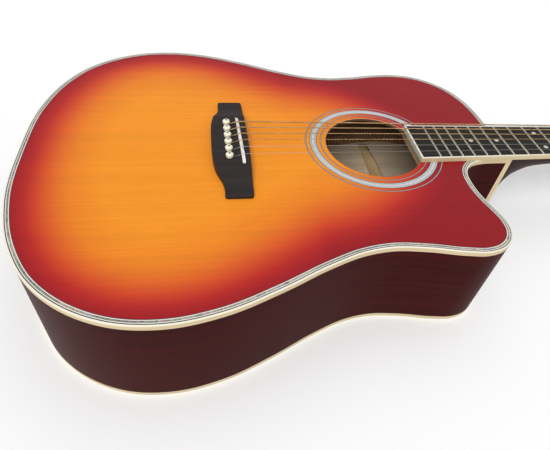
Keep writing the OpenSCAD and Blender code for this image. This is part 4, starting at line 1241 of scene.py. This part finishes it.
# ---- Camera, light and floor ----
# The photograph's view in guitar coordinates: where from, azimuth, elevation and roll in degrees
SEEN_FROM = (-692.15, -384.28, 284.58)
SEEN_ANGLES = (-12.64, 45.567, 7.025)
LENS, SENSOR_W = 30.26, 36
KEY_LIGHT, FILL_LIGHT, SKY_LIGHT = 0.46, 0.1, 0.5


def camera():
    azimuth, elevation, roll = map(radians, SEEN_ANGLES)
    back = Vector((sin(azimuth) * cos(elevation), -cos(azimuth) * cos(elevation), sin(elevation)))
    right = (-back).cross(Vector((0, 0, 1))).normalized()
    turn = Matrix((right, back.cross(right), back)).transposed().to_4x4()
    data = bpy.data.cameras.new("camera")
    data.lens, data.sensor_width = LENS, SENSOR_W
    data.clip_start, data.clip_end = 0.01, 50
    seen_from = placed("camera", data)
    place = Matrix.Translation(GUITAR @ Vector(SEEN_FROM))
    seen_from.matrix_world = (place @ Matrix.Rotation(TILT, 4, "Y") @ turn
        @ Matrix.Rotation(roll, 4, "Z"))
    bpy.context.scene.camera = seen_from


def soft_sun(name, towards, light, spread):
    """A broad lamp far off in the direction towards, giving that much light on level ground."""
    data = bpy.data.lights.new(name, "SUN")
    aim = Vector(towards).normalized()
    data.energy, data.angle = light * pi / aim.z, radians(spread)
    lamp = placed(name, data)
    lamp.rotation_euler = aim.to_track_quat("Z", "Y").to_euler()
    lamp.location = aim * 3


def studio():
    floor = bpy.data.meshes.new("floor")
    reach = 12
    floor.from_pydata([(-reach, -reach, 0), (reach, -reach, 0), (reach, reach, 0), (-reach, reach, 0)],
        [], [(0, 1, 2, 3)])
    floor.materials.append(floor_paint())
    plane = placed("floor", floor)
    plane.location.z = -0.0003
    world = bpy.data.worlds.new("studio")
    world.use_nodes = True
    sky = world.node_tree.nodes["Background"].inputs
    sky["Color"].default_value, sky["Strength"].default_value = (1, 1, 1, 1), SKY_LIGHT
    bpy.context.scene.world = world
    soft_sun("key", (-0.45, -0.9, 1.05), KEY_LIGHT, 35)
    soft_sun("top_fill", (0.1, 0.2, 1), FILL_LIGHT, 60)
    bpy.context.scene.view_settings.view_transform = "Standard"


camera()
studio()
soundboard()
edge_trim()
rosette()
sides()
back()
kerfed_lining("kerfed_top_lining", "lining_top", lambda x, h: -TOP_T - h)
kerfed_lining("kerfed_back_lining", "lining_back", lambda x, h: back_z(x, BACK_T + h))
back_braces()
bridge()
saddle()
bridge_pins()
neck()
heel_cap()
head_trim()
frets()
strings()
tuner_housings()
tuner_buttons()
finish_nodes()
